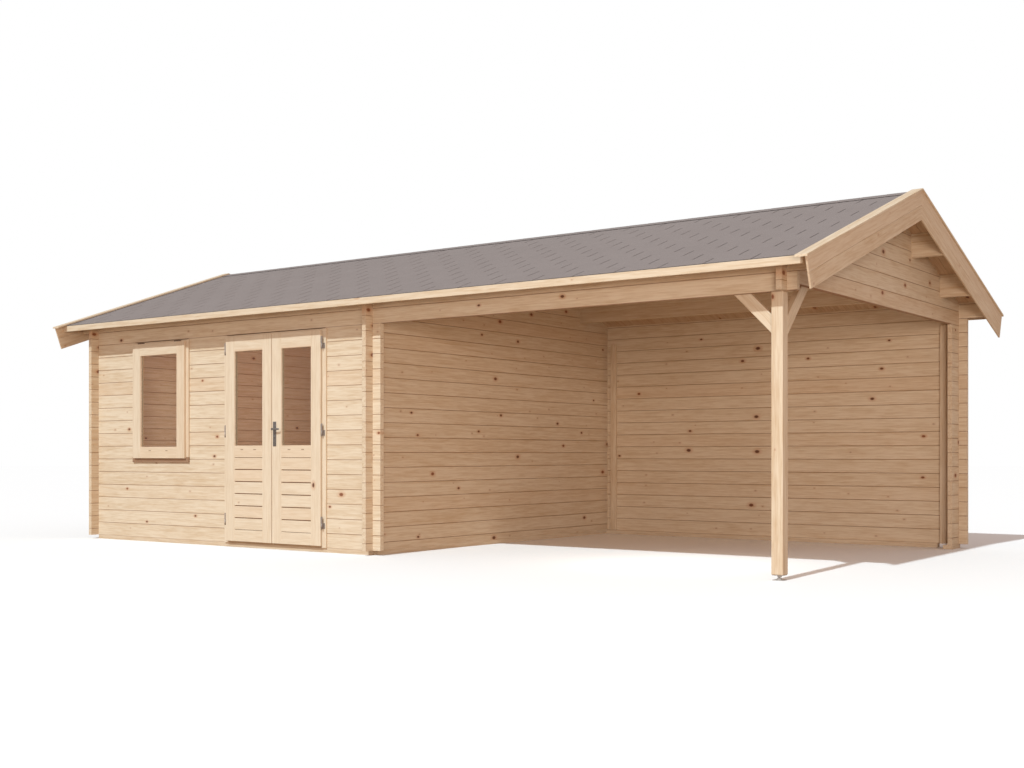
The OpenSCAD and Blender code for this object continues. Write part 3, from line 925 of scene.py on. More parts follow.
@dataclass
class Slope:
    """One roof slope seen flat: x along the ridge, s up from the eaves, h off the boards' underside."""

    half: float
    eaves: float
    ridge: float

    def matrix(self) -> Matrix:
        """The matrix that lays a flat (x, s, h) shape on the front slope.

        Returns:
            The matrix.
        """
        foot = Vector((0.0, -self.eaves, self.ridge - self.eaves * RISE / RUN))
        turn = Matrix(((1, 0, 0), (0, RUN, -RISE), (0, RISE, RUN))).to_4x4()
        return Matrix.Translation(foot) @ turn

    @property
    def length(self) -> float:
        """Length from the eaves to the ridge along the slope."""
        return self.eaves / RUN

    def both(self, front: bpy.types.Object, name: str) -> bpy.types.Object:
        """Copies a finished front slope to the rear by half a turn about the upright axis.

        Args:
            front: the front slope's object.
            name: name of the copy.

        Returns:
            The copy.
        """
        rear = Bench.copy(front, Matrix.Rotation(math.pi, 4, "Z"))
        rear.name = name
        rear.data.name = name
        return rear


@dataclass
class RoofDeck:
    """Roof boards from ridge to eaves, with a V joint on the underside."""

    slope: Slope
    count: int = 87
    thick: float = PLY
    vee: float = 0.0035
    gap: float = 0.0004
    spare: float = 0.05

    def build(self) -> None:
        """Models one board, copies it along the roof and cuts both ends upright."""
        width = 2 * self.slope.half / self.count
        low = (-self.slope.half + self.gap / 2, -self.spare, SEAT)
        high = (low[0] + width - self.gap, self.slope.length + self.spare, SEAT + self.thick)
        board = Bench.block("roof_boards_near", low, high)
        Bench.ease(board, lambda a, b: abs(a.y - b.y) > 1.0 and a.z < SEAT + 0.001, self.vee)
        near = Bench.row(board, (width, 0, 0), self.count, "roof_boards_near")
        near.data.transform(self.slope.matrix())
        Bench.slice(near, (0, -self.slope.eaves + 0.0005, 0), (0, -1, 0), True)
        Bench.slice(near, (0, -0.0006, 0), (0, 1, 0), True)
        Bench.paint(near, Finishes.DECK)
        far = self.slope.both(near, "roof_boards_far")
        Bench.placed(near, "root", "roof_timber", ("roof_boards_front",))
        Bench.placed(far, "root", "roof_timber", ("roof_boards_rear",))


@dataclass
class ShingleRoof:
    """Half-lapped rows of straight shingle tabs with bent tabs over the ridge."""

    slope: Slope
    deck_top: float
    tab: float = 0.3694
    exposure: float = 0.208
    slot: float = 0.0105
    first_row: float = -0.015
    phase: float = 3.360
    lap: float = 0.03
    thick: float = 0.0022
    lift: float = 0.0006

    def one_tab(self) -> bpy.types.Object:
        """Models one tab: a thin slab, raised at its lower edge, with that edge eased.

        Returns:
            The tab, with its left edge at x = 0 and its lower edge at s = 0.
        """
        length = self.exposure + self.lap
        tab = Bench.block("tab", (0, 0, 0), (self.tab - self.slot, length, self.thick))
        for vertex in tab.data.vertices:
            vertex.co.z += self.lift * (1.0 - vertex.co.y / length)
        top = max(v.co.z for v in tab.data.vertices) - 0.0005
        Bench.ease(tab, lambda a, b: max(a.y, b.y) < 0.001 and min(a.z, b.z) > top, 0.0012)
        return tab

    def build(self) -> None:
        """Lays the rows on the front slope, turns a copy to the rear and caps the ridge."""
        finish = Shingle("shingle_grit", self.tab, self.exposure, self.slope.length - self.first_row, self.phase)
        tab = self.one_tab()
        rows = math.ceil((self.slope.length - self.first_row) / self.exposure)
        tabs = []
        for row in range(rows):
            shift = self.phase + (row % 2) * self.tab / 2
            count = math.ceil((self.slope.half + shift) / self.tab)
            start = shift - count * self.tab + self.slot / 2
            for column in range(math.ceil((self.slope.half - start) / self.tab)):
                place = (start + column * self.tab, self.first_row + row * self.exposure, self.deck_top + 0.0002)
                tabs.append(Bench.copy(tab, Matrix.Translation(place)))
        bpy.data.objects.remove(tab)
        near = Bench.merge(tabs, "shingles_near")
        Bench.paint(near, finish)
        low = (-self.slope.half, 0, self.deck_top)
        # A near-black sheet under the tabs shows through the slots as painted shade.
        sheet = Bench.block("underlay_slot_shade", low, (self.slope.half, self.slope.length, self.deck_top + 0.0011))
        Bench.paint(sheet, Finishes.UNDERLAY_SLOT_SHADE)
        near = Bench.merge([near, sheet], "shingles_near")
        Bench.slice(near, (-self.slope.half, 0, 0), (-1, 0, 0), True)
        Bench.slice(near, (self.slope.half, 0, 0), (1, 0, 0), True)
        near.data.transform(self.slope.matrix())
        Bench.slice(near, (0, -self.slope.eaves, 0), (0, -1, 0), True)
        Bench.slice(near, (0, -0.0006, 0), (0, 1, 0), True)
        far = self.slope.both(near, "shingles_far")
        Bench.placed(near, "root", "shingle", ("shingles_front",))
        Bench.placed(far, "root", "shingle", ("shingles_rear",))
        self.cap_ridge(finish)

    def cap_ridge(self, finish: Shingle) -> None:
        """Bends one tab over the ridge and copies it along.

        Args:
            finish: the roof covering's finish.
        """
        low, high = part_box("ridge_shingles")
        reach = (high.y - low.y) / 2
        base = low.z + reach * RISE / RUN
        count = math.ceil((high.x - low.x) / self.exposure)
        step = (high.x - low.x) / count
        cap = Bench.block("cap", (low.x, -reach, 0), (low.x + step + self.lap, reach, 0.0012))
        Bench.slice(cap, (0, 0, 0), (0, 1, 0))
        for vertex in cap.data.vertices:
            share = (vertex.co.x - low.x) / (step + self.lap)
            vertex.co.z += base - abs(vertex.co.y) * RISE / RUN + 0.0010 * (1.0 - share)
        Bench.soften(cap, 0.0004, 1)
        line = Bench.row(cap, (step, 0, 0), count, "ridge_caps")
        Bench.slice(line, (high.x, 0, 0), (1, 0, 0), True)
        Bench.paint(line, finish)
        Bench.placed(line, "root", "shingle", ("ridge_shingles",))


# ---------------------------------------------------------------- floor


@dataclass
class RoomFloor:
    """Floor boards of the closed room."""

    count: int = 32

    def build(self) -> None:
        """Models one board and copies it across the room."""
        low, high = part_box("floor_boards")
        start = low.y + 0.014
        width = (high.y - start) / self.count
        board = Bench.block("floor", (low.x, start, low.z), (high.x, start + width - 0.0006, high.z))
        Bench.soften(board, 0.0016, 1)
        floor = Bench.row(board, (0, width, 0), self.count, "room_floor_boards")
        Bench.paint(floor, Finishes.FLOOR)
        Bench.placed(floor, "root", "roof_timber", ("floor_boards",))


# ---------------------------------------------------------------- joinery


@dataclass
class Member:
    """One joinery member: a front slab whose middle is thickened towards the back."""

    x: Span
    z: Span
    y: tuple[float, float, float]
    body_x: Span
    body_z: Span
    finish: Timber
    easing: float = 0.0014

    def build(self, name: str) -> bpy.types.Object:
        """Models the member: a slab, cut where the lip starts, with the body pushed out behind.

        Args:
            name: name of the object.

        Returns:
            The object.
        """
        front, lip, back = self.y
        item = Bench.block(name, (self.x[0], front, self.z[0]), (self.x[1], lip, self.z[1]))
        for axis, limits, outer in ((0, self.body_x, self.x), (2, self.body_z, self.z)):
            for value in limits:
                if outer[0] + 1e-4 < value < outer[1] - 1e-4:
                    point, normal = [0.0, 0.0, 0.0], [0.0, 0.0, 0.0]
                    point[axis], normal[axis] = value, 1.0
                    Bench.slice(item, point, normal)
        Bench.push(
            item,
            lambda c, n: n.y > 0.9
            and self.body_x[0] - 1e-5 < c.x < self.body_x[1] + 1e-5
            and self.body_z[0] - 1e-5 < c.z < self.body_z[1] + 1e-5,
            (0, back - lip, 0),
        )
        Bench.soften(item, self.easing, 1)
        return Bench.paint(item, self.finish)


class Joinery:
    """Pieces shared by the door leaves and the window sash."""

    @staticmethod
    def bead(name: str, opening: tuple[Span, Span], y: Span, width: float, finish) -> bpy.types.Object:
        """Models a ring that runs round the inside of an opening.

        Args:
            name: name of the object.
            opening: the opening's x span and z span.
            y: the span the ring fills.
            width: width of the ring.
            finish: the finish.

        Returns:
            The object.
        """
        (x0, x1), (z0, z1) = opening
        bpy.ops.object.select_all(action="DESELECT")
        bpy.ops.mesh.primitive_plane_add(
            size=1.0, location=((x0 + x1) / 2, y[0], (z0 + z1) / 2), rotation=(math.pi / 2, 0, 0)
        )
        item = bpy.context.active_object
        item.name = name
        item.scale = (x1 - x0, z1 - z0, 1.0)
        Bench.settle(item)
        Bench.edit(item, None, lambda: bpy.ops.mesh.inset(thickness=width, depth=0.0))
        cx, cz = (x0 + x1) / 2, (z0 + z1) / 2
        Bench.edit(
            item,
            lambda c, n: abs(c.x - cx) < 1e-4 and abs(c.z - cz) < 1e-4,
            lambda: bpy.ops.mesh.delete(type="FACE"),
        )
        Bench.push(item, lambda c, n: True, (0, y[1] - y[0], 0))
        Bench.edit(item, None, lambda: bpy.ops.mesh.normals_make_consistent(inside=False))
        Bench.soften(item, min(0.003, width / 3), 1)
        return Bench.paint(item, finish)

    @staticmethod
    def drain(name: str, x: float, y: float, z: float) -> bpy.types.Object:
        """Models a small drain cap with a hood, low on the front of a rail.

        Args:
            name: name of the object.
            x: its middle along the rail.
            y: the rail's front face.
            z: its height.

        Returns:
            The object.
        """
        item = Bench.block(name, (x - 0.017, y - 0.0012, z - 0.003), (x + 0.017, y + 0.001, z + 0.003))
        Bench.push(item, lambda c, n: n.z > 0.9, (0, -0.0014, 0.0022))
        Bench.soften(item, 0.0006, 1)
        return Bench.paint(item, Finishes.SLOT)


@dataclass
class GlazedLeaf:
    """A door leaf or sash: stiles, rails, panel boards, beads and drain caps round a pane."""

    name: str
    body: str
    node: str
    pane: str
    slab: float
    left_lip: float
    right_lip: float
    end_lip: float
    boards: int = 0
    board_h: float = 0.115
    board_gap: float = 0.0042
    lock_rail: float = 0.109
    core_in: Span = (0.012, 0.008)
    drains: Span = (0.27, 0.73)
    drain_drop: float = 0.036

    def build(self) -> None:
        """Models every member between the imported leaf's faces and joins them."""
        low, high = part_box(self.node)
        g0, g1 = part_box(self.pane)
        y = (low.y, low.y + self.slab, high.y)
        body_x = (low.x + self.left_lip, high.x - self.right_lip)
        body_z = (low.z + self.end_lip, high.z - self.end_lip)
        gx = (g0.x - SEAT, g1.x + SEAT)
        gz = (g0.z - SEAT, g1.z + SEAT)
        parts = [
            Member(x, (low.z, high.z), y, body_x, body_z, Finishes.STILE).build("stile")
            for x in ((low.x, gx[0]), (gx[1], high.x))
        ]
        parts.append(Member(gx, (gz[1], high.z), y, gx, body_z, Finishes.RAIL).build("top_rail"))
        rail_top = gz[0]
        if self.boards:
            lock_low = gz[0] - self.lock_rail
            parts.append(Member(gx, (lock_low, gz[0]), y, gx, body_z, Finishes.RAIL, 0.0022).build("lock_rail"))
            for index in range(self.boards):
                top = lock_low - index * self.board_h
                span = (top - self.board_h + self.board_gap, top - self.board_gap)
                parts.append(Member(gx, span, y, gx, body_z, Finishes.RAIL, 0.0014).build("board"))
            rail_top = lock_low - self.boards * self.board_h
            # The core behind the boards is dark: painted shade in the grooves between them.
            back = (low.y + self.core_in[0], high.y - self.core_in[1])
            core = Bench.block(
                "core", (gx[0] + 0.001, back[0], rail_top - 0.01), (gx[1] - 0.001, back[1], lock_low + 0.01)
            )
            Bench.soften(core, 0.001, 1)
            parts.append(Bench.paint(core, Finishes.GROOVE_SHADE))
        parts.append(Member(gx, (low.z, rail_top), y, gx, body_z, Finishes.RAIL, 0.0018).build("low_rail"))
        rings = (
            ("bead_out", (low.y + 0.0045, g0.y - 0.0004), 0.0035, Finishes.RAIL),
            ("bead_in", (g1.y + 0.0004, high.y - 0.003), 0.0035, Finishes.RAIL),
            ("gasket", (g0.y - 0.0022, g0.y - 0.0001), 0.0048, Finishes.RUBBER),
        )
        parts += [Joinery.bead(name, (gx, gz), span, width, finish) for name, span, width, finish in rings]
        for share in self.drains:
            x = gx[0] + share * (gx[1] - gx[0])
            parts.append(Joinery.drain("drain", x, low.y, gz[0] - self.drain_drop))
        leaf = Bench.merge(parts, self.name)
        Bench.placed(leaf, self.body, "joinery", (self.node,))


@dataclass
class LinedOpening:
    """A door or window frame: jambs, head and sill with casings over the logs on both faces."""

    name: str
    node: str
    cut: Span
    clear: Span
    lap: float
    cut_z: Span
    clear_z: Span
    sill: bool
    easing: float = 0.0018

    def member(
        self, name: str, x: Span, z: Span, signs: tuple[int, ...], finish: Timber, grow: float = 0.0
    ) -> bpy.types.Object:
        """Models a jamb, head or sill with laps pushed out over the logs at the front and back.

        Args:
            name: name of the object.
            x: its span along the wall.
            z: its span upwards.
            signs: the sides with laps: -1 left, 1 right.
            finish: its finish.
            grow: how far its casings reach upwards, or downwards below zero.

        Returns:
            The object.
        """
        y = self.depths
        item = Bench.block(name, (x[0], y[0], z[0]), (x[1], y[3], z[1]))
        for place in y[1:3]:
            Bench.slice(item, (0, place, 0), (0, 1, 0))
        for sign in signs:
            Bench.push(
                item, lambda c, n: n.x * sign > 0.9 and (c.y < y[1] or c.y > y[2]), (sign * self.lap, 0, 0)
            )
        if grow > 0:
            Bench.push(item, lambda c, n: n.z > 0.9 and c.y > y[2], (0, 0, grow))
        elif grow < 0:
            Bench.push(item, lambda c, n: n.z < -0.9 and (c.y < y[1] or c.y > y[2]), (0, 0, grow))
        Bench.soften(item, self.easing, 1)
        return Bench.paint(item, finish)

    @property
    def depths(self) -> tuple[float, float, float, float]:
        """Front face, both faces of the wall with their gaps, and back face."""
        low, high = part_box(self.node)
        return low.y, WALL_FACES[0] - SEAT, WALL_FACES[1] + SEAT, high.y

    def build(self) -> None:
        """Models the members and joins them."""
        low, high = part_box(self.node)
        top = self.clear_z[1]
        base = self.clear_z[0] if self.sill else low.z
        across = self.cut
        parts = [
            self.member("jamb_left", (across[0], self.clear[0]), (base, top), (-1,), Finishes.STILE),
            self.member("jamb_right", (self.clear[1], across[1]), (base, top), (1,), Finishes.STILE),
            self.member("head", across, (top, self.cut_z[1]), (-1, 1), Finishes.RAIL, high.z - self.cut_z[1]),
        ]
        if self.sill:
            z = (self.cut_z[0], base)
            # The sill gets a dark finish: painted shade under the sash.
            parts.append(self.member("sill", across, z, (-1, 1), Finishes.SILL_SHADE, low.z - self.cut_z[0]))
        frame = Bench.merge(parts, self.name)
        Bench.placed(frame, "root", "joinery", (self.node,))


# ---------------------------------------------------------------- ironwork


class Ironwork:
    """Hinges, door handle and the adjustable foot of the post."""

    TIP_RADIUS, TIP_LENGTH = 0.0066, 0.007
    PLATE_HALF, PLATE_THICK, PLATE_IN = 0.0205, 0.0042, 0.020
    LEVER_UP, KEY_DROP, SCREW_IN = 0.045, 0.072, 0.014
    NECK, ROSE, KEY, SCREW = (0.0095, 0.036, 20), (0.0145, 0.0075, 24), (0.0085, 0.0085, 20), (0.0036, 0.0056, 14)
    INSIDE_ARM = 0.3  # length of the inner lever's arm, as a share of the outer one's
    FOOT_PLATE, THREAD_PITCH, THREAD_TURNS = 0.005, 0.002, 15
    SASH_WING = 0.045  # half the length of a sash hinge

    def hinge_tips(self) -> None:
        """Adds a turned tip to the outer end of every hinge barrel."""
        plan = (
            ("root", "frame_hinges", -1),
            ("left_leaf", "left_hinges", 1),
            ("right_leaf", "right_hinges", 1),
        )
        for body, node, grows in plan:
            parts = []
            for centre in self.barrels(node):
                base = centre.z if grows > 0 else centre.z - self.TIP_LENGTH
                tip = Bench.rod("tip", (centre.x, centre.y, base), "Z", self.TIP_RADIUS, self.TIP_LENGTH, 20)
                Bench.edit(
                    tip,
                    lambda c, n: n.z * grows > 0.9,
                    lambda: bpy.ops.transform.resize(value=(0.62, 0.62, 1.0)),
                )
                Bench.soften(tip, 0.0012, 2, 20.0)
                Bench.smooth(tip)
                # Left leaf tips get the paler tone as painted light, the others the darker tone as painted shade.
                parts.append(Bench.paint(tip, Finishes.HINGE_PAINTED_LIT if body == "left_leaf" else Finishes.HINGE))
            item = Bench.merge(parts, f"tips_{node}")
            Bench.placed(item, body, "ironwork")

    def frame_halves(self, node: bpy.types.Object) -> None:
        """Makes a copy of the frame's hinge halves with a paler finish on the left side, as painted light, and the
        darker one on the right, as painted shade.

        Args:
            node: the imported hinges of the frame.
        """
        item = Bench.clone(node, "frame_hinge_halves")
        Bench.paint(item, Finishes.HINGE)
        item.data.materials.append(Finishes.get(Finishes.HINGE_PAINTED_LIT))
        low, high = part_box("frame_hinges")
        for face in item.data.polygons:
            face.material_index = int(face.center.x < (low.x + high.x) / 2)
        Bench.smooth(item, 35.0)
        Bench.placed(item, "root", "ironwork", ("frame_hinges",))

    @staticmethod
    def barrels(node: str) -> list[Vector]:
        """Outer ends of the barrels of a hinge node: the low ends on the frame, the top ends on a leaf.

        Args:
            node: name of the hinge node.

        Returns:
            The centre of each end.
        """
        mesh = bpy.data.objects[node].data
        heights = sorted({round(v.co.z, 4) for v in mesh.vertices})
        runs = [[heights[0]]]
        for value in heights[1:]:
            if value - runs[-1][-1] > 0.2:
                runs.append([])
            runs[-1].append(value)
        low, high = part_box(node)
        ends = []
        for x, y, _ in JOINTS.values():
            if low.x - 1e-4 < x < high.x + 1e-4:
                ends += [Vector((x, y, run[0] if node == "frame_hinges" else run[-1])) for run in runs]
        return ends

    @staticmethod
    def stud(
        name: str, at: tuple[float, float, float], out: float, size: tuple[float, float, int]
    ) -> bpy.types.Object:
        """Adds a round piece that stands off the door's face.

        Args:
            name: name of the object.
            at: its centre on the face.
            out: -1 on the outer face, 1 on the inner face.
            size: radius, length and number of sides.

        Returns:
            The object.
        """
        radius, length, sides = size
        return Bench.rod(name, (at[0], min(at[1], at[1] + out * length), at[2]), "Y", radius, length, sides)

    def handle(self) -> None:
        """Models the lever handles on both faces of the right leaf, on a long plate with a key cover."""
        low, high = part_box("door_handle")
        leaf_low, leaf_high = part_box("door_right")
        x = low.x + self.PLATE_IN
        z = (low.z + high.z) / 2 + self.LEVER_UP
        sides = (
            ("handle_outside", leaf_low.y - SEAT, -1.0, 1.0),
            ("handle_inside", leaf_high.y + SEAT, 1.0, self.INSIDE_ARM),
        )
        for name, face, out, arm in sides:
            reach = sorted((face, face + out * self.PLATE_THICK))
            half = self.PLATE_HALF
            plate = Bench.block("plate", (x - half, reach[0], low.z), (x + half, reach[1], high.z))
            Bench.soften(plate, 0.0014, 2)
            neck = self.stud("neck", (x, face, z), out, self.NECK)
            Bench.edit(
                neck,
                lambda c, n: n.y * out > 0.9,
                lambda: bpy.ops.transform.resize(value=(0.86, 1.0, 0.86)),
            )
            lever = self.lever(x, face + out * 0.037, z, out, arm)
            rose = self.stud("rose", (x, face, z), out, self.ROSE)
            key = self.stud("key", (x, face, z - self.KEY_DROP), out, self.KEY)
            heights = (low.z + self.SCREW_IN, high.z - self.SCREW_IN)
            screws = [self.stud("screw", (x, face, height), out, self.SCREW) for height in heights]
            Bench.soften(rose, 0.0012, 2)
            Bench.soften(key, 0.0010, 1)
            for head in screws:
                Bench.soften(head, 0.0006, 1)
            parts = [plate, neck, lever, rose, key, *screws]
            for part in parts:
                Bench.smooth(part, 35.0)
                Bench.paint(part, Finishes.IRON)
            item = Bench.merge(parts, name)
            Bench.placed(item, "right_leaf", "handle", ("door_handle",) if out < 0 else ())

    @staticmethod
    def lever(x: float, y: float, z: float, out: float, share: float) -> bpy.types.Object:
        """Models a lever: a block pushed on in steps that curve back towards the door, then rounded.

        Args:
            x: centre of the neck along the door.
            y: middle of the lever off the door's face.
            z: height of the lever.
            out: -1 on the outer face, 1 on the inner face.
            share: length of the arm, as a share of the outer one's.

        Returns:
            The object.
        """
        item = Bench.block("lever", (x - 0.010, y - 0.0045, z - 0.0095), (x + 0.012, y + 0.0045, z + 0.0095))
        pushes = ((0.020, 0.0, 0.98), (0.024, 0.0015, 0.94), (0.020, 0.004, 0.92), (0.008, 0.003, 0.8))
        for length, back, thin in pushes:
            reach = max(v.co.x for v in item.data.vertices) - 1e-4
            Bench.push(item, lambda c, n: n.x > 0.7 and c.x > reach - 0.004, (length * share, -out * back, 0))
            tip = max(v.co.x for v in item.data.vertices) - 1e-4
            Bench.edit(
                item,
                lambda c, n: n.x > 0.7 and c.x > tip - 0.004,
                lambda: bpy.ops.transform.resize(value=(1.0, thin, thin)),
            )
        Bench.soften(item, 0.0035, 3, 30.0)
        return item

    def foot(self) -> None:
        """Models the post's foot: two plates, a threaded rod and its nuts."""
        low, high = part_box("post_foot")
        x, y = (low.x + high.x) / 2, (low.y + high.y) / 2
        parts = []
        for z0 in (low.z, high.z - self.FOOT_PLATE):
            plate = Bench.block("plate", (low.x, low.y, z0), (high.x, high.y, z0 + self.FOOT_PLATE))
            Bench.soften(plate, 0.0012, 2)
            parts.append(plate)
        rod = Bench.rod("rod", (x, y, low.z + 0.004), "Z", 0.0085, high.z - low.z - 0.008, 24)
        for index in range(1, self.THREAD_TURNS):
            Bench.slice(rod, (0, 0, low.z + self.FOOT_PLATE + index * self.THREAD_PITCH), (0, 0, 1))
        for vertex in rod.data.vertices:
            ridge = 1.0 if round((vertex.co.z - low.z) / self.THREAD_PITCH - 0.5) % 2 else 0.93
            vertex.co.x = x + (vertex.co.x - x) * ridge
            vertex.co.y = y + (vertex.co.y - y) * ridge
        parts.append(rod)
        for z0 in (low.z + 0.005, high.z - 0.017):
            nut = Bench.rod("nut", (x, y, z0), "Z", 0.0165, 0.012, 6)
            Bench.soften(nut, 0.0015, 2)
            parts.append(nut)
        for part in parts:
            Bench.paint(part, Finishes.STEEL)
        item = Bench.merge(parts, "adjustable_foot")
        Bench.placed(item, "root", "ironwork", ("post_foot",))

    def sash_hinges(self) -> None:
        """Models the two flat hinges on the head of the window sash."""
        low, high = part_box("window_sash")
        parts = []
        for x in (low.x + 0.115, high.x - 0.115):
            ends = (x - self.SASH_WING, x + self.SASH_WING)
            wing = Bench.block("wing", (ends[0], low.y + 0.016, high.z), (ends[1], low.y + 0.0215, high.z + 0.010))
            Bench.soften(wing, 0.0008, 1)
            barrel = Bench.rod(
                "barrel", (ends[0], low.y + 0.010, high.z + 0.005), "X", 0.0055, 2 * self.SASH_WING, 18
            )
            Bench.soften(barrel, 0.0008, 1)
            Bench.smooth(barrel, 35.0)
            parts += [wing, barrel]
        for part in parts:
            Bench.paint(part, Finishes.CATCH)
        item = Bench.merge(parts, "sash_hinges")
        Bench.placed(item, "root", "ironwork")


# ---------------------------------------------------------------- stage


@dataclass
class Studio:
    """Floor, light and camera."""

    eye: tuple[float, float, float] = (7.627, -10.346, 0.891)
    heading: float = 36.136
    lens: float = 45.09
    rise: float = 0.0683
    sun_power: float = 2.64
    sun_tint: Colour = (0.82, 0.949, 1.0)
    sky_power: float = 0.5
    sky_tint: Colour = (1.0, 0.84, 0.78)
    floor_throws: Colour = (0.45, 0.345, 0.27)
    sun_from: tuple[float, float, float] = (0.07, -1.0, 1.03)
    room_power: float = 46.0
    room_tint: Colour = (1.0, 0.72, 0.64)
    canopy_power: float = 26.0
    canopy_tint: Colour = (1.0, 0.80, 0.64)
    fill_power: float = 1500.0
    fill_tint: Colour = (1.0, 0.87, 0.77)
    fill_place: tuple[float, float, float] = (14.8, -17.9, 2.3)
    fill_from: tuple[float, float, float] = (13.3, -17.9, 1.1)
    fill_size: Span = (5.6, 4.2)

    def build(self) -> None:
        """Sets the camera, the sun, the sky and the floor."""
        scene = bpy.context.scene
        scene.view_settings.view_transform = "Standard"
        data = bpy.data.cameras.new("camera")
        data.lens, data.sensor_width, data.shift_y = self.lens, 36.0, self.rise
        data.clip_end = 300.0
        camera = bpy.data.objects.new("camera", data)
        camera.location = self.eye
        camera.rotation_euler = (math.pi / 2, 0.0, math.radians(self.heading))
        scene.collection.objects.link(camera)
        scene.camera = camera
        sun = self.lamp("sun", "SUN", self.sun_power, self.sun_tint)
        sun.data.angle = math.radians(1.2)
        sun.rotation_euler = Vector(self.sun_from).to_track_quat("Z", "Y").to_euler()
        self.unseen_lamps()
        self.sky(scene)
        self.floor()

    @staticmethod
    def lamp(
        name: str, kind: str, power: float, tint: Colour, place: Sequence[float] = (0, 0, 0), seen: bool = True
    ) -> bpy.types.Object:
        """Adds a lamp.

        Args:
            name: name of the lamp.
            kind: "SUN", "POINT" or "AREA".
            power: its power.
            tint: its colour.
            place: its centre.
            seen: whether the camera and reflections see it.

        Returns:
            The lamp.
        """
        data = bpy.data.lights.new(name, kind)
        data.energy, data.color = power, tint
        lamp = bpy.data.objects.new(name, data)
        lamp.location = place
        lamp.visible_camera = lamp.visible_glossy = seen
        bpy.context.scene.collection.objects.link(lamp)
        return lamp

    def unseen_lamps(self) -> None:
        """Soft light inside the closed room and under the canopy, and a low fill from the front right."""
        low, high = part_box("floor_boards")
        room = ((low.x + high.x) / 2, -0.3, 1.55)
        middle = (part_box("partition_wall")[1].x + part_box("canopy_post")[0].x) / 2
        canopy = (middle + 0.7, -1.2, 0.5)
        self.lamp("room_lamp", "POINT", self.room_power, self.room_tint, room, False).data.shadow_soft_size = 0.5
        under = self.lamp("canopy_lamp", "POINT", self.canopy_power, self.canopy_tint, canopy, False)
        under.data.shadow_soft_size = 0.7
        fill = self.lamp("fill_lamp", "AREA", self.fill_power, self.fill_tint, self.fill_place, False)
        fill.data.shape, fill.data.size, fill.data.size_y = "RECTANGLE", *self.fill_size
        fill.rotation_euler = Vector(self.fill_from).to_track_quat("Z", "Y").to_euler()

    def sky(self, scene: bpy.types.Scene) -> None:
        """Even soft light, with a white background for what the camera sees, through glass too.

        Args:
            scene: the scene.
        """
        world = bpy.data.worlds.new("sky")
        scene.world = world
        world.use_nodes = True
        tree = world.node_tree
        tree.nodes.clear()
        path = tree.nodes.new("ShaderNodeLightPath")
        seen = tree.nodes.new("ShaderNodeMath")
        seen.operation = "MAXIMUM"
        blend = tree.nodes.new("ShaderNodeMixShader")
        out = tree.nodes.new("ShaderNodeOutputWorld")
        for index, name in enumerate(("Is Camera Ray", "Is Transmission Ray")):
            tree.links.new(path.outputs[name], seen.inputs[index])
        tree.links.new(seen.outputs[0], blend.inputs[0])
        for index, (tint, power) in enumerate(((self.sky_tint, self.sky_power), ((1.0, 1.0, 1.0), 1.0)), 1):
            light = tree.nodes.new("ShaderNodeBackground")
            light.inputs["Color"].default_value = (*tint, 1.0)
            light.inputs["Strength"].default_value = power
            tree.links.new(light.outputs[0], blend.inputs[index])
        tree.links.new(blend.outputs[0], out.inputs["Surface"])

    def floor(self) -> None:
        """A plain pale floor, a little darker to the light it throws back than to the eye."""
        bpy.ops.object.select_all(action="DESELECT")
        bpy.ops.mesh.primitive_circle_add(vertices=96, radius=90.0, fill_type="NGON", location=(0, 0, 0))
        floor = bpy.context.active_object
        floor.name = "studio_floor"
        g = Graph("studio_floor")
        path = g.node("ShaderNodeLightPath")
        colour = g.mix(path.outputs["Is Camera Ray"], self.floor_throws, (1.0, 1.0, 1.0))
        floor.data.materials.append(g.close(g.node("ShaderNodeBsdfDiffuse", colour)))


# ---------------------------------------------------------------- main


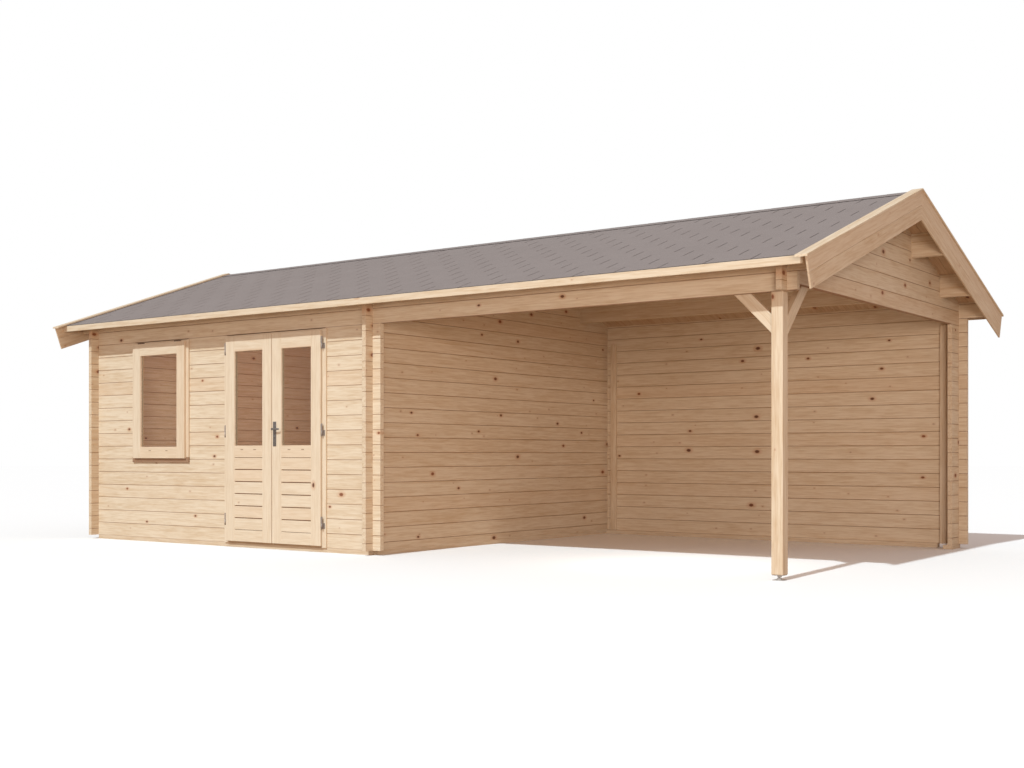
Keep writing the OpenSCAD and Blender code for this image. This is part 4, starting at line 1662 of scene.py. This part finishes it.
def main() -> None:
    """Builds the cabin's looks in order."""
    logging.basicConfig(level=logging.INFO, format="%(message)s")
    for item in list(bpy.data.objects):
        bpy.data.objects.remove(item)
    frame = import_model()
    nodes = frame["nodes"]
    for joint in frame["joints"]:
        JOINTS[joint["name"]] = tuple(joint["pos_m"])
    Studio().build()
    LogWalls().dress(nodes)
    SawnTimbers.build(nodes)

    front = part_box("roof_boards_front")
    slope = Slope(front[1].x, -front[0].y, front[1].z - PLY / RUN - SEAT + 0.0006 * RISE / RUN)
    RoofDeck(slope).build()
    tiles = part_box("shingles_front")
    ShingleRoof(Slope(front[1].x, -tiles[0].y, slope.ridge), PLY + 2 * SEAT).build()
    RoomFloor().build()

    for side, lips in (("left", (DOOR_LIP, 0.0)), ("right", (0.0, DOOR_LIP))):
        names = (f"leaf_{side}", f"{side}_leaf", f"door_{side}", f"{side}_glass")
        GlazedLeaf(*names, DOOR_LIP, *lips, DOOR_LIP, boards=6).build()
    GlazedLeaf("sash", "root", "window_sash", "window_glass", SASH_SLAB, SASH_LIP, SASH_LIP, SASH_LIP).build()
    lap = CASING_LAP - SEAT
    low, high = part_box("door_frame")
    sill_low, sill_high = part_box("door_threshold")
    LinedOpening(
        "door_lining",
        "door_frame",
        cut=(low.x + lap, high.x - lap),
        clear=(sill_low.x - SEAT, sill_high.x + SEAT),
        lap=lap,
        cut_z=(low.z, FRAME_TOP),
        clear_z=(low.z, DOOR_HEAD),
        sill=False,
    ).build()
    low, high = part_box("window_frame")
    sash_low, sash_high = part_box("window_sash")
    LinedOpening(
        "window_lining",
        "window_frame",
        cut=(low.x + lap, high.x - lap),
        clear=(sash_low.x + LIP_OVER, sash_high.x - LIP_OVER),
        lap=lap,
        cut_z=(low.z + WINDOW_CASING_LOW, FRAME_TOP),
        clear_z=(sash_low.z + LIP_OVER, sash_high.z - LIP_OVER),
        sill=True,
    ).build()
    iron = Ironwork()
    iron.hinge_tips()
    iron.handle()
    iron.foot()
    iron.sash_hinges()
    iron.frame_halves(nodes["frame_hinges"])
    # Right hinges darker as painted shade, left hinges paler as painted light.
    Bench.paint(nodes["right_hinges"], Finishes.HINGE)
    Bench.paint(nodes["left_hinges"], Finishes.HINGE_PAINTED_LIT)
    for name in ("left_glass", "right_glass", "window_glass"):
        Bench.paint(nodes[name], Finishes.PANE)


if __name__ == "__main__":
    main()
